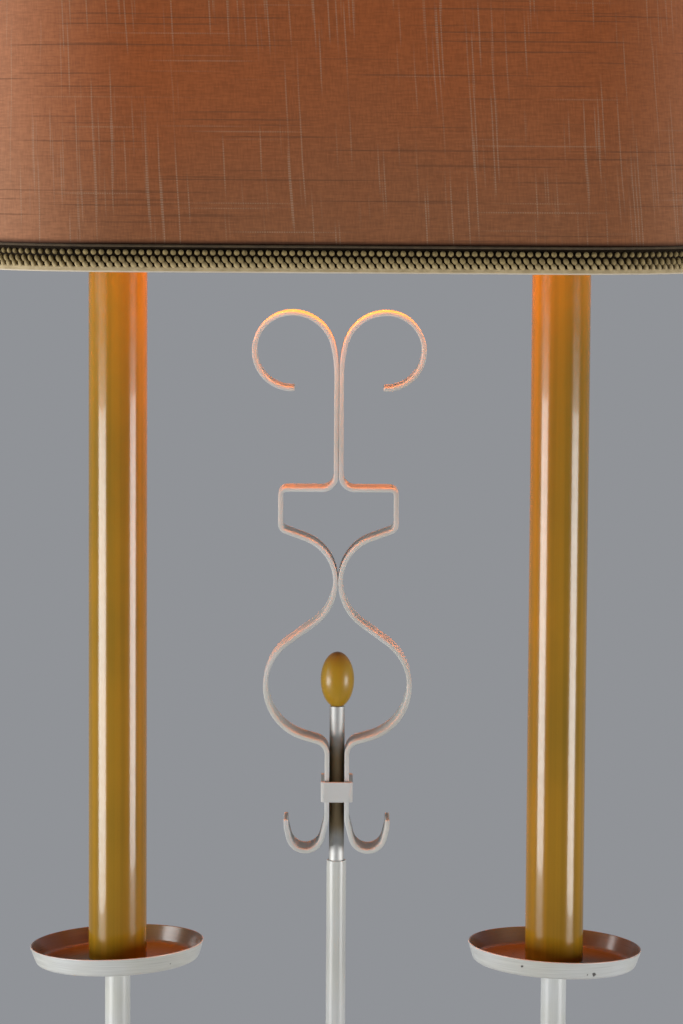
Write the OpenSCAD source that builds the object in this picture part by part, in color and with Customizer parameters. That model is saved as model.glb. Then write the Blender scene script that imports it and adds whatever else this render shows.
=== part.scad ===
// Floor lamp with two candle tubes in drip pans, an oblong fabric shade and,
// between the tubes, a bent-strap ornament held to a rod by a collar.
// +Z is up, the origin is on the floor under the centre of the base, -Y is the front.

/* [Base] */
// Radius of the base
base_r = 150; // [140:1:180]
// Height of the base cover at its middle
base_h = 32; // [28:1:40]
// Height of the cover's upright rim
base_rim_h = 18; // [16:1:21]
// Thickness of the spun cover
cover_t = 1.5; // [1:0.1:2]
// Radius of the iron weight
weight_r = 125; // [100:1:128]
// Thickness of the iron weight
weight_t = 15; // [13:0.5:16]
// Thickness of the felt pad
felt_t = 3; // [2:0.5:4]
// Width of the margin between the felt pad and the cover's edge
felt_margin = 12; // [8:1:20]
// Bore of the cord bushing
inlet_d = 6.5; // [5:0.1:8]

/* [Column] */
// Outside diameter of the lower column
column_d = 22; // [20:0.5:26]
// Wall of the lower column
column_wall = 1.5; // [1:0.1:2.5]
// Radius of the turned foot under the column
foot_r = 27; // [24:1:34]
// Height of the turned foot
foot_h = 34; // [28:1:44]
// Outside diameter of the threaded pipe
pipe_d = 9.6; // [9:0.1:10.4]
// Bore of the threaded pipe
pipe_bore = 6.4; // [5:0.1:7]
// Height of the hub's middle above the floor; all that it carries rises with it
hub_z = 550; // [480:5:600]
// Radius of the hub's ball
hub_r = 19; // [17:0.5:24]

/* [Arms] */
// Distance from the lamp's axis to each candle's axis
candle_x = 143; // [130:1:150]
// Outside diameter of the arms
arm_d = 16.6; // [15:0.1:18]
// Wall of the arms
arm_wall = 1.6; // [1.2:0.1:2]
// Radius of the arms' bend, at its centreline
arm_bend = 60; // [45:1:80]
// Height of the arms' upper ends above the hub's middle
arm_rise = 195; // [170:1:220]

/* [Drip pans and candle tubes] */
// Diameter of a pan's rim
pan_d = 114; // [104:1:126]
// Height of a pan
pan_h = 12; // [9:0.5:16]
// How much smaller the floor's radius is than the rim's
pan_flare = 4.5; // [2:0.5:7]
// Thickness of the pan's sheet
pan_t = 1.2; // [1:0.1:1.6]
// Tilt of each pan, outer side down
pan_tilt = 2.4; // [0:0.2:3]
// Outside diameter of the candle tubes
tube_d = 38; // [36:0.5:42]
// Wall of the candle tubes
tube_wall = 1; // [0.8:0.1:1.6]
// How far the candle tubes reach up into the shade
tube_rise = 50; // [40:1:60]

/* [Spire] */
// Outside diameter of the spire tube
spire_d = 12.8; // [12.2:0.1:15]
// Height of the spire tube's upper end above the hub's middle
spire_rise = 263; // [240:1:265]
// Diameter of the rod that carries the ornament
rod_d = 9.8; // [9:0.1:10.4]
// How far the rod stands out of the spire tube
rod_rise = 101.5; // [92:0.5:105]
// How far the rod goes down into the spire tube
rod_grip = 90; // [60:1:120]
// Diameter of the egg-shaped finial
finial_d = 21.8; // [18:0.1:26]
// Height of the finial
finial_h = 35.6; // [28:0.1:38]
// Diameter of the stud that the finial screws on
stud_d = 5; // [4:0.5:6]

/* [Strap ornament] */
// Thickness of the strap
strap_t = 3; // [2.4:0.1:3.4]
// Width of the strap, front to back
strap_w = 29; // [24:0.5:31]
// Height of the scrolls' middle above the urn's shoulders
neck_l = 89.3; // [70:0.1:110]
// Distance from the lamp's axis to a scroll's middle
scroll_x = 30.4; // [30:0.1:32]
// Bend radius of the scroll's outer half
scroll_r = 24.3; // [22:0.1:25]
// Bend radius of the scroll's inner quarter
scroll_in_r = 27.3; // [26.9:0.1:27.8]
// How far a scroll's tail runs past its lowest point, in degrees
tail_turn = 4; // [0:1:30]
// Radius of the easy bend where the scrolls meet
neck_r = 80; // [60:1:95]
// Height of the urn's upright sides, corner to corner
urn_h = 25.95; // [16:0.05:40]
// Bend radius where the neck opens into the shoulders
shoulder_r = 9; // [6:0.5:11]
// Distance from the lamp's axis to the urn's upright sides
urn_x = 37.4; // [34:0.1:42]
// Bend radius of the urn's upper corners
urn_top_r = 4; // [3:0.5:6]
// Bend radius of the urn's lower corners
urn_low_r = 5; // [3:0.5:6]
// Slope of the urn's lower sides, in degrees
urn_slope = 20; // [16:1:24]
// Bend radius above the waist
waist_top_r = 30; // [27:0.5:32]
// Bend radius below the waist
waist_low_r = 34; // [30:0.5:36]
// Slope of the straps between the waist and the loop, in degrees
loop_slope = 36; // [33:1:38]
// Distance from the lamp's axis to the loop's widest point
loop_x = 46.7; // [45:0.1:49]
// Bend radius of the loop's sides
loop_r = 35.1; // [33:0.1:36]
// Slope of the straps under the loop, in degrees
under_slope = 16; // [14:1:18]
// Bend radius where the straps turn down along the rod
under_r = 9; // [6:0.5:11]
// Length of the straps along the rod, between the loop's bend and the hooks' sides
grip_l = 49.65; // [40:0.05:62]
// Height of the hooks' lowest point above the spire tube, at the strap's centreline
hook_gap = 7.9; // [4:0.1:14]
// Distance from the lamp's axis to the middle of a hook
hook_x = 20.3; // [19:0.1:23]
// Bend radius of the hooks
hook_r = 11.2; // [9:0.1:12]
// How far the hooks' sides lean out, in degrees
hook_lean = 14; // [12:1:18]
// Height of a hook's tip above its lowest point
tip_rise = 21; // [18:0.5:24]
// Bend radius at the top of a hook's sides
hook_ease = 24; // [16:1:30]
// Height of the collar's middle above the lower end of the straps' stretch along the rod
collar_up = 19.15; // [14:0.05:28]
// Height of the collar
collar_h = 13; // [10:0.5:16]
// Wall of the collar
collar_wall = 2.3; // [1.8:0.1:2.8]
// Slack between the straps' edges and the collar, front and back
collar_slack = 2.2; // [1:0.1:3]
// Outer corner radius of the collar
collar_r = 2.6; // [1:0.1:3.4]

/* [Sockets and bulbs] */
// Diameter of the socket's body
socket_d = 33; // [31:0.5:35]
// Height of the socket's body
socket_h = 46; // [44:1:54]
// Diameter of the socket's threaded part, which the fitter goes over
thread_d = 39; // [38:0.5:42]
// Diameter of the bulb's screw base
screw_d = 26.2; // [25:0.1:27]
// Diameter of the bulb's globe
bulb_d = 60; // [45:1:64]
// Height of the bulb's glass
bulb_h = 88; // [80:1:96]
// Wall of the bulb's glass
glass_t = 1; // [0.8:0.1:1.5]
// Diameter of the turn key's shaft
key_shaft_d = 3; // [2.5:0.1:4]
// Width of the turn key's paddle
key_w = 13; // [10:0.5:15]

/* [Shade] */
// Height of the shade's bottom edge above the hub's middle
shade_rise = 650; // [640:1:690]
// Height of the shade
shade_h = 270; // [230:5:320]
// Half length of the shade's flat front
shade_flat = 137; // [125:1:150]
// Radius of the rounded ends, at the bottom edge
shade_r = 105; // [98:1:115]
// How much smaller that radius is at the top edge
shade_taper = 14; // [0:1:20]
// Thickness of the shade's fabric
fabric_t = 1; // [0.8:0.1:1.6]
// Thickness of the liner behind the fabric
liner_t = 0.8; // [0.5:0.1:1.2]
// Height of the braid along each edge
braid_h = 16.5; // [15:0.5:20]
// Height of one row of the braid's knots
knot_h = 3.7; // [3:0.1:4]
// Thickness of the braid at its knots
braid_t = 3; // [2.4:0.1:4]
// Diameter of the shade's wires
wire_d = 3.2; // [2.6:0.1:4]

/* [Clearances] */
// Clearance all round between pieces that fit in each other
fit = 0.06; // [0.03:0.01:0.1]
// Clearance between a turning piece and what it turns on
run = 0.05; // [0.03:0.01:0.08]

/* [Hidden] */
$fn = 64;
bend_step = 4;              // degrees between two points of a bend
over = 1;                   // how far a cut runs past the face it opens

pipe_hole = pipe_d + 2 * fit;

// heights above the floor
arm_top = hub_z + arm_rise;
spire_top = hub_z + spire_rise;
rod_top = spire_top + rod_rise;
hook_z = spire_top + hook_gap;
shade_z = hub_z + shade_rise;

// base, from the floor up
nut_h = 7;
nut_flats = 16;
washer_t = 2;
washer_d = 36;
recess_d = 46;
pipe_end = felt_t + 0.5;
nut_z = pipe_end + 0.5;
recess_h = nut_z + nut_h + washer_t - felt_t;
weight_top = felt_t + weight_t;
weight_edge = 2;
rim_gap = felt_t / 2;       // the cover's edge stays this far off the floor
rim_bend = 5;
crown_r = 0.4 * base_r;     // the cover bends down from its level crown here
crown_bend = 60;
brow_r = 0.86 * base_r;     // and bends back towards its rim here
brow_rise = 4;
brow_bend = 40;
inlet_z = (rim_gap + base_rim_h - rim_bend) / 2;
inlet_wall = 1.6;
inlet_len = 9;
inlet_end = 0.2;            // the bushing's outer end stays this far inside the rim
flange_gap = 0.3;           // between the bushing's flange and the inside of the rim

// column
foot_z = base_h;
foot_seat = foot_z + 12;
foot_lip_h = 3;
bead_r = 2;
bead_z = foot_z + foot_lip_h + bead_r;
bead_top = bead_z + bead_r;
neck_t = 3;                 // the foot's neck stands this far out from the column
neck_h = 6;
neck_edge = 1.5;
hub_low = hub_z - hub_r - 12;
column_seat = 12;
hub_skirt_h = 5;
hub_high = hub_z + hub_r + 10;
spire_cup_r = spire_d / 2 + 5;
spire_cup_h = 9;
spire_cup_edge = 5;
ball_cut = 50;              // the hub's ball shows between these angles, below and above
spire_seat = 16;
boss_d = arm_d + 6;
boss_x = hub_r + 8;
arm_start = hub_r - 4;
screw_w = 5;
screw_x = boss_x - 5;
screw_socket = 1.2;

// drip pans: a pan touches the arm's end at its low side, its washer at its high side
tilt_rise = tan(pan_tilt);
pan_z = arm_top + arm_d / 2 * tilt_rise + fit;
pan_hole = pipe_d + 1.6;
pan_corner = 3;
pan_nut_flats = 14;
pan_nut_h = 5;
pan_washer_d = 22;
pan_washer_t = 1.5;
pan_washer_z = pan_z + pan_t + pan_washer_d / 2 * tilt_rise + fit;
tube_z = pan_z + pan_t + tube_d / 2 * tilt_rise + fit;
tube_top = shade_z + tube_rise;
stem_bush_h = 18;
riser_low = arm_top - stem_bush_h + 2;

// sockets, from the tube's cap up
cap_t = 2;
cap_lip = 0.6;
cap_plug = 6;
socket_z = tube_top + cap_t;
cup_t = 1.2;
cup_h = 16;
cup_floor_r = 10;
cup_bend = 3;
cup_r = socket_d / 2 + fit + cup_t / 2;
cup_shoulder_z = socket_z + 9;
riser_nut_h = 4;
riser_top = socket_z + cup_t + riser_nut_h + 1.5;
body_z = socket_z + 11;
body_top = body_z + socket_h;
flange_z = body_top - 19;
flange_t = 3;
flange_d = thread_d + 6;
fitter_z = flange_z + flange_t;
fitter_t = 2;
ring_h = 5;
ring_foot_h = 1.5;
ring_wall = 2;
screw_h = 22;
screw_z = body_top - screw_h;
bulb_hole = screw_d + 1;
tip_h = 1.5;
tip_r = 5;
bulb_neck_h = 8;
globe_from = -38;           // the bulb's neck runs into its round globe at this angle
bulb_steps = 12;
key_z = (body_z + screw_z - tip_h) / 2;
key_in = 3;
key_reach = 8;
key_t = 2.6;
key_high = 9;

// finial: an ellipse turned round its long axis, cut flat at this angle below its middle
egg_cut = -71;
egg_half = finial_h / (1 - sin(egg_cut));
egg_mid = rod_top - egg_half * sin(egg_cut);
egg_steps = 32;
stud_h = 10;

// ornament
neck_x = strap_t / 2 + fit;
rod_x = rod_d / 2 + run + strap_t / 2;
collar_in_w = 2 * (rod_x + strap_t / 2 + fit);
collar_in_d = strap_w + 2 * collar_slack;

// shade
lining_gap = 0.1;
wire_in = fabric_t + liner_t + 3 * lining_gap + wire_d / 2;
wire_inset = 4;
liner_drop = 0.8;           // the liner shows this far below the braid
knot_rows = 3;
knot_low = 1.4;             // thickness of the braid between its rows of knots
edge_cord_h = 1.8;
edge_cord_t = 2;
hem_t = 1.6;
hem_h = braid_h - knot_rows * knot_h - edge_cord_h;
tight = 0.05;               // between wires that are soldered to each other

// ---- helpers ----

// radius of the shade's rounded ends at height z
function wall_r(z) = shade_r - shade_taper * (z - shade_z) / shade_h;

// angle from a to b, brought between -180 and 180
function swing(a, b) = (b - a + 540) % 360 - 180;

// one bend round corner q, coming from p and going to s, as points [x, y, left normal x, y]
function bend(p, q, s) = let(
    u = [p[0] - q[0], p[1] - q[1]] / norm([p[0] - q[0], p[1] - q[1]]),
    v = [s[0] - q[0], s[1] - q[1]] / norm([s[0] - q[0], s[1] - q[1]]),
    half = acos(u * v) / 2,
    r = q[2],
    c = [q[0], q[1]] + (u + v) / norm(u + v) * r / sin(half),
    from = [q[0], q[1]] + u * r / tan(half) - c,
    to = [q[0], q[1]] + v * r / tan(half) - c)
    arc(c, r, atan2(from[1], from[0]), swing(atan2(from[1], from[0]), atan2(to[1], to[0])));

// an arc as the same kind of points; the normal is on the left of the way it runs
function arc(c, r, start, turn) = let(
    n = max(2, ceil(abs(turn) / bend_step)),
    side = turn > 0 ? -1 : 1)
    [for (i = [0:n]) let(a = start + turn * i / n, d = [cos(a), sin(a)])
        [c[0] + r * d[0], c[1] + r * d[1], side * d[0], side * d[1]]];

// an open end of a path at p, facing along the line p to q
function path_end(p, q, way) = let(
    d = way * [q[0] - p[0], q[1] - p[1]] / norm([q[0] - p[0], q[1] - p[1]]))
    [[p[0], p[1], -d[1], d[0]]];

// the path through corners [x, y, bend radius], with its two open ends
function bends(c) = [for (i = [1:len(c) - 2]) each bend(c[i - 1], c[i], c[i + 1])];
function bent_path(c) = let(n = len(c) - 1)
    concat(path_end(c[0], c[1], 1), bends(c), path_end(c[n], c[n - 1], -1));

// closed outline of a sheet of thickness t whose middle follows a path
function sheet(path, t) = concat(
    [for (p = path) [p[0] + p[2] * t / 2, p[1] + p[3] * t / 2]],
    [for (i = [len(path) - 1:-1:0]) let(p = path[i]) [p[0] - p[2] * t / 2, p[1] - p[3] * t / 2]]);

module revolve(outline) rotate_extrude() polygon(outline);

module pipe(d, bore, z0, z1) translate([0, 0, z0]) difference() {
    cylinder(d = d, h = z1 - z0);
    translate([0, 0, -over]) cylinder(d = bore, h = z1 - z0 + 2 * over);
}

module hole(d, z0, z1) translate([0, 0, z0]) cylinder(d = d, h = z1 - z0);

module hex_nut(flats, bore, z, h) translate([0, 0, z]) difference() {
    cylinder(d = flats / cos(30), h = h, $fn = 6);
    translate([0, 0, -over]) cylinder(d = bore, h = h + 2 * over);
}

module at_candle(side) translate([side * candle_x, 0, 0]) children();

module both() for (side = [-1, 1]) at_candle(side) children();

// ---- base ----

module felt_pad() color("dimgray")
    pipe(2 * (base_r - felt_margin), recess_d, 0, felt_t);

module base_cover() color("ivory") difference() {
    revolve(sheet(bent_path([
        [pipe_hole / 2, base_h - cover_t / 2],
        [crown_r, base_h - cover_t / 2, crown_bend],
        [brow_r, base_rim_h + brow_rise, brow_bend],
        [base_r - cover_t / 2, base_rim_h, rim_bend],
        [base_r - cover_t / 2, rim_gap]]), cover_t));
    translate([0, base_r - 2 * inlet_wall, inlet_z]) rotate([-90, 0, 0])
        cylinder(d = inlet_d + 2 * inlet_wall + 2 * fit, h = 4 * inlet_wall);
}

module base_weight() color("dimgray") difference() {
    chamfered_disc(weight_r, felt_t, weight_top);
    hole(pipe_hole, 0, weight_top + over);
    hole(recess_d, 0, felt_t + recess_h);
}

// a disc with a small chamfer round its upper edge
module chamfered_disc(r, z0, z1) revolve([
    [0, z0], [r, z0], [r, z1 - weight_edge], [r - weight_edge, z1], [0, z1]]);

module base_spacer() color("silver")
    pipe(2 * pipe_d, pipe_hole, weight_top, base_h - cover_t);

module base_washer() color("silver")
    pipe(washer_d, pipe_hole, felt_t + recess_h - washer_t, felt_t + recess_h);

module base_nut() color("silver") hex_nut(nut_flats, pipe_hole, nut_z, nut_h);

module cord_bushing() color("black") translate([0, base_r, inlet_z]) rotate([-90, 0, 0])
    difference() {
        union() {
            translate([0, 0, -cover_t - flange_gap - inlet_wall])
                cylinder(d = inlet_d + 3 * inlet_wall, h = inlet_wall);
            translate([0, 0, -inlet_len])
                cylinder(d = inlet_d + 2 * inlet_wall, h = inlet_len - inlet_end);
        }
        translate([0, 0, -inlet_len - over]) cylinder(d = inlet_d, h = inlet_len + 2 * over);
    }

// ---- column ----

module column_foot() color("ivory") difference() {
    revolve(concat(
        [[0, foot_z], [foot_r, foot_z], [foot_r, foot_z + foot_lip_h]],
        [for (a = [-90:10:90]) [foot_r - bead_r + bead_r * cos(a), bead_z + bead_r * sin(a)]],
        [for (a = [270:-9:180]) cove(a)],
        [[column_d / 2 + neck_t, foot_z + foot_h - neck_edge],
        [column_d / 2 + neck_t - neck_edge, foot_z + foot_h],
        [0, foot_z + foot_h]]));
    hole(pipe_hole, 0, foot_z + foot_h);
    hole(column_d + 2 * fit, foot_seat, foot_z + foot_h + over);
}

// the foot's hollow sweep from its bead up to its neck
function cove(a) = let(
    w = foot_r - bead_r - column_d / 2 - neck_t,
    h = foot_z + foot_h - neck_h - bead_top)
    [foot_r - bead_r + w * cos(a), bead_top + h + h * sin(a)];

module tie_pipe() color("silver") pipe(pipe_d, pipe_bore, pipe_end, hub_z - boss_d / 2);

module lower_column() color("ivory")
    pipe(column_d, column_d - 2 * column_wall, foot_seat, hub_low + column_seat);

module hub() color("ivory") difference() {
    union() {
        revolve(concat(
            [[0, hub_low], [column_d / 2 + neck_t, hub_low],
            [column_d / 2 + neck_t, hub_low + hub_skirt_h]],
            [for (a = [-ball_cut:5:ball_cut]) [hub_r * cos(a), hub_z + hub_r * sin(a)]],
            [[spire_cup_r, hub_high - spire_cup_h], [spire_cup_r, hub_high - spire_cup_edge],
            [spire_cup_r - 2, hub_high], [0, hub_high]]));
        translate([0, 0, hub_z]) rotate([0, 90, 0])
            cylinder(d = boss_d, h = 2 * boss_x, center = true);
    }
    hole(column_d + 2 * fit, hub_low - over, hub_low + column_seat);
    hole(pipe_hole, hub_low, hub_z);
    hole(pipe_bore, hub_z - over, hub_high);
    hole(spire_d + 2 * fit, hub_high - spire_seat, hub_high + over);
    translate([0, 0, hub_z]) rotate([0, 90, 0]) {
        cylinder(d = pipe_bore, h = 2 * boss_x, center = true);
        for (way = [0, 180]) rotate([way, 0, 0]) translate([0, 0, arm_start])
            cylinder(d = arm_d + 2 * fit, h = boss_x);
    }
    for (side = [-1, 1]) translate([side * screw_x, 0, hub_z - boss_d])
        cylinder(d = screw_w + 2 * fit, h = boss_d);
}

module arm_screws() color("silver") for (side = [-1, 1])
    translate([side * screw_x, 0, hub_z - boss_d / 2]) difference() {
        cylinder(d = screw_w, h = (boss_d - arm_d) / 2);
        translate([0, 0, -over]) cylinder(d = screw_w / 2, h = over + screw_socket, $fn = 6);
    }

// ---- arms, drip pans and candle tubes ----

// one arm's form at a given diameter; it runs past both ends by extra
module arm_run(d, extra) {
    translate([arm_start - extra, 0, hub_z]) rotate([0, 90, 0])
        cylinder(d = d, h = candle_x - arm_bend - arm_start + extra);
    translate([candle_x - arm_bend, 0, hub_z + arm_bend]) rotate([90, 0, 0])
        rotate([0, 0, -90]) rotate_extrude(angle = 90) translate([arm_bend, 0]) circle(d = d);
    translate([candle_x, 0, hub_z + arm_bend])
        cylinder(d = d, h = arm_top - hub_z - arm_bend + extra);
}

module arm(side) color("ivory") mirror([side < 0 ? 1 : 0, 0, 0]) difference() {
    arm_run(arm_d, 0);
    arm_run(arm_d - 2 * arm_wall, over);
}

module stem_bush(side) color("silver") at_candle(side)
    pipe(arm_d - 2 * arm_wall - 2 * fit, pipe_hole, arm_top - stem_bush_h, arm_top);

module pan(side) color("ivory") at_candle(side) translate([0, 0, pan_z])
    rotate([0, side * pan_tilt, 0]) revolve(sheet(bent_path([
        [pan_hole / 2, pan_t / 2],
        [pan_d / 2 - pan_flare, pan_t / 2, pan_corner],
        [pan_d / 2 - pan_t / 2, pan_h]]), pan_t));

module pan_washers() color("silver") both()
    pipe(pan_washer_d, pipe_hole, pan_washer_z, pan_washer_z + pan_washer_t);

module pan_nuts() color("silver") both()
    hex_nut(pan_nut_flats, pipe_hole, pan_washer_z + pan_washer_t, pan_nut_h);

module riser(side) color("silver") at_candle(side)
    pipe(pipe_d, pipe_bore, riser_low, riser_top);

module candle_tube(side) color("goldenrod") at_candle(side)
    pipe(tube_d, tube_d - 2 * tube_wall, tube_z, tube_top);

module tube_cap(side) color("goldenrod") at_candle(side) difference() {
    union() {
        hole(tube_d + 2 * cap_lip, tube_top, socket_z);
        hole(tube_d - 2 * tube_wall - 2 * fit, tube_top - cap_plug, socket_z);
    }
    hole(pipe_hole, tube_top - cap_plug - over, socket_z + over);
}

// ---- spire ----

module spire_tube() color("ivory")
    pipe(spire_d, rod_d + 2 * fit, hub_high - spire_seat, spire_top);

module spire_rod() color("silver") union() {
    hole(rod_d, spire_top - rod_grip, rod_top);
    hole(stud_d, rod_top - over, rod_top + stud_h);
}

module finial() color("goldenrod") difference() {
    revolve(concat([[0, rod_top]],
        [for (i = [0:egg_steps]) let(a = egg_cut + (90 - egg_cut) * i / egg_steps)
            [finial_d / 2 * cos(a), egg_mid + egg_half * sin(a)]]));
    hole(stud_d + 2 * fit, rod_top - over, rod_top + stud_h + fit);
}

// ---- strap ornament ----

// its heights, each from the one below: hook, grip along the rod, loop, waist, urn, scroll
hook_half = hook_r * tan((90 - hook_lean) / 2);
hook_top = hook_z + (hook_x - hook_half - rod_x) / tan(hook_lean);
collar_z = hook_top + collar_up;
under_z = hook_top + grip_l;
loop_low = under_z + (loop_x - rod_x) * tan(under_slope);
loop_z = loop_low + loop_r * tan((90 - under_slope) / 2);
loop_top = loop_z + loop_r * tan((90 - loop_slope) / 2);
waist_low = loop_top + (loop_x - neck_x) * tan(loop_slope);
waist_z = waist_low + waist_low_r * tan((90 - loop_slope) / 2);
waist_top = waist_z + waist_top_r * tan((90 - urn_slope) / 2);
urn_low = waist_top + (urn_x - neck_x) * tan(urn_slope);
shoulder_z = urn_low + urn_h;
scroll_z = shoulder_z + neck_l;

// the scroll: its outer half, its wider inner quarter and the easy bend into the neck
scroll_lean = acos((neck_r + neck_x - scroll_x) / (neck_r - scroll_in_r));
quarter_z = scroll_z + scroll_r - scroll_in_r;
neck_z = quarter_z + (scroll_in_r - neck_r) * sin(scroll_lean);
scroll_path = concat(
    arc([scroll_x, scroll_z], scroll_r, -90 - tail_turn, 180 + tail_turn),
    arc([scroll_x, quarter_z], scroll_in_r, 90, 90 - scroll_lean),
    arc([neck_x + neck_r, neck_z], neck_r, 180 - scroll_lean, scroll_lean));

// corners of the rest of the strap, from the neck down to the hook's tip
tip_z = hook_z + 0.72 * tip_rise;
tip_x = hook_x + hook_half + (tip_z - hook_z) * tan(hook_lean);
tip_bend = 18;
tip_lean = 0.3;
strap_corners = [
    [neck_x, neck_z],
    [neck_x, shoulder_z, shoulder_r],
    [urn_x, shoulder_z, urn_top_r],
    [urn_x, urn_low, urn_low_r],
    [neck_x, waist_top, waist_top_r],
    [neck_x, waist_low, waist_low_r],
    [loop_x, loop_top, loop_r],
    [loop_x, loop_low, loop_r],
    [rod_x, under_z, under_r],
    [rod_x, hook_top, hook_ease],
    [hook_x - hook_half, hook_z, hook_r],
    [hook_x + hook_half, hook_z, hook_r],
    [tip_x, tip_z, tip_bend],
    [tip_x + tip_lean, hook_z + tip_rise]];
strap_last = len(strap_corners) - 1;
strap_path = concat(scroll_path, bends(strap_corners),
    path_end(strap_corners[strap_last], strap_corners[strap_last - 1], -1));

module strap(side) color("ivory") mirror([side < 0 ? 1 : 0, 0, 0]) rotate([90, 0, 0])
    linear_extrude(strap_w, center = true) polygon(sheet(strap_path, strap_t));

module rounded_rect(w, d, r) union() {
    square([w, d - 2 * r], center = true);
    square([w - 2 * r, d], center = true);
    for (x = [-1, 1], y = [-1, 1]) translate([x * (w / 2 - r), y * (d / 2 - r)]) circle(r = r);
}

module strap_collar() color("ivory") translate([0, 0, collar_z - collar_h / 2])
    linear_extrude(collar_h) difference() {
        rounded_rect(collar_in_w + 2 * collar_wall, collar_in_d + 2 * collar_wall, collar_r);
        square([collar_in_w, collar_in_d], center = true);
    }

// ---- sockets and bulbs ----

module socket_cap(side) color("gold") at_candle(side)
    revolve(sheet(bent_path([
        [pipe_hole / 2, socket_z + cup_t / 2],
        [cup_floor_r, socket_z + cup_t / 2, cup_bend],
        [cup_r, cup_shoulder_z, cup_bend],
        [cup_r, socket_z + cup_h]]), cup_t));

module riser_nuts() color("silver") both()
    hex_nut(pan_nut_flats, pipe_hole, socket_z + cup_t, riser_nut_h);

module socket_body(side) color("black") at_candle(side) difference() {
    union() {
        hole(socket_d, body_z, flange_z);
        hole(flange_d, flange_z, fitter_z);
        hole(thread_d, fitter_z, body_top);
    }
    hole(bulb_hole, screw_z, body_top + over);
    hole(2 * tip_r + 1, screw_z - tip_h, screw_z + over);
    translate([0, -key_in, key_z]) rotate([90, 0, 0])
        cylinder(d = key_shaft_d + 2 * run, h = socket_d);
}

module turn_key(side) color("black") at_candle(side) translate([0, 0, key_z]) union() {
    translate([0, -key_in - run, 0]) rotate([90, 0, 0])
        cylinder(d = key_shaft_d, h = socket_d / 2 - key_in + key_reach);
    translate([0, -socket_d / 2 - key_reach, 0]) rotate([0, 90, 0]) intersection() {
        cylinder(d = key_w, h = key_t, center = true);
        cube([key_high, key_w, key_t], center = true);
    }
}

module bulb_base(side) color("silver") at_candle(side) union() {
    hole(screw_d, screw_z, body_top);
    hole(2 * tip_r, screw_z - tip_h, screw_z + over);
}

// outline of a bulb whose surface lies in by an inset: its neck flares into a round globe
function bulb_line(inset) = let(
    r = bulb_d / 2 - inset,
    neck = screw_d / 2 - inset,
    mid = body_top + bulb_h - bulb_d / 2,
    neck_top = body_top + bulb_neck_h,
    flare_x = r * cos(globe_from),
    flare_z = mid + r * sin(globe_from))
    concat(
        [[neck, body_top]],
        [for (i = [0:bulb_steps]) let(k = i / bulb_steps)
            [neck + (flare_x - neck) * k * k, neck_top + (flare_z - neck_top) * k]],
        [for (a = [globe_from + 4:8:86]) [r * cos(a), mid + r * sin(a)]],
        [[0, mid + r]]);

module bulb_glass(side) color("white", 0.5) at_candle(side) difference() {
    revolve(concat([[0, body_top]], bulb_line(0)));
    revolve(concat([[0, body_top - over], [screw_d / 2 - glass_t, body_top - over]],
        bulb_line(glass_t)));
}

// ---- shade ----

module shade_ring(side) color("black") at_candle(side) difference() {
    union() {
        hole(thread_d + 4 * ring_wall, fitter_z + fitter_t, fitter_z + fitter_t + ring_foot_h);
        hole(thread_d + 2 * ring_wall, fitter_z + fitter_t, fitter_z + fitter_t + ring_h);
    }
    hole(thread_d + 2 * fit, fitter_z, fitter_z + 2 * ring_h);
}

// distance from the axis of a rounded end to the wires' centreline at height z
function wire_r(z) = wall_r(z) - wire_in;

fitter_mid = fitter_z + fitter_t / 2;
taper_lean = atan(shade_taper / shade_h);
fitter_ring_d = thread_d + 9;
fitter_bore = thread_d + 0.6;
end_turn = asin(max(0, candle_x - shade_flat) / wire_r(fitter_mid));
side_x = min(candle_x, shade_flat);

// turns a piece drawn along +X onto one of a candle's three ribs: end, front or back
module to_rib(turn) translate([turn == 0 ? shade_flat : side_x, 0, 0])
    rotate([0, 0, turn]) children();

rib_turns = [0, 90 - end_turn, end_turn - 90];

module shade_fitter() color("silver") difference() {
    union() {
        both() hole(fitter_ring_d, fitter_z, fitter_z + fitter_t);
        translate([0, 0, fitter_mid]) rotate([0, 90, 0])
            cylinder(d = fitter_t, h = 2 * candle_x, center = true);
        for (side = [0, 1]) mirror([side, 0, 0]) intersection() {
            spokes();
            translate([candle_x - fitter_ring_d / 4, -shade_r, fitter_z])
                cube([shade_r + shade_flat, 2 * shade_r, fitter_t]);
        }
    }
    both() hole(fitter_bore, fitter_z - over, fitter_z + fitter_t + over);
}

// three spokes from a candle's ring out to its ribs
module spokes() {
    spoke(candle_x, wire_r(fitter_mid) + shade_flat, 0);
    for (way = [-1, 1]) spoke(candle_x, wire_r(fitter_mid) * cos(end_turn), way * 90);
}

module spoke(x, reach, turn) translate([x, 0, fitter_mid]) rotate([0, 0, turn]) rotate([0, 90, 0])
    cylinder(d = fitter_t, h = reach - (turn == 0 ? x : 0) - wire_d / 2 - tight);

module shade_ribs() color("silver") {
    for (side = [0, 1]) mirror([side, 0, 0]) for (turn = rib_turns) to_rib(turn) rib();
    for (turn = [-90, 90]) rotate([0, 0, turn]) rib();
}

rib_low = shade_z + wire_inset + wire_d / 2 + tight;
rib_high = shade_z + shade_h - wire_inset - wire_d / 2 - tight;

module rib() translate([wire_r(rib_low), 0, rib_low])
    rotate([0, -taper_lean, 0])
        cylinder(d = wire_d, h = (rib_high - rib_low) / cos(taper_lean));

// a wire bent to the shade's outline, r from the rounded ends' axes
module wire_loop(r, z) translate([0, 0, z]) for (side = [0, 1]) mirror([side, 0, 0]) {
    translate([shade_flat, 0, 0]) rotate([0, 0, -90])
        rotate_extrude(angle = 180) translate([r, 0]) circle(d = wire_d);
    for (y = [-r, r]) translate([0, y, 0]) rotate([0, 90, 0]) cylinder(d = wire_d, h = shade_flat);
}

module bottom_wire() color("silver") wire_loop(wire_r(shade_z + wire_inset), shade_z + wire_inset);

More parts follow.
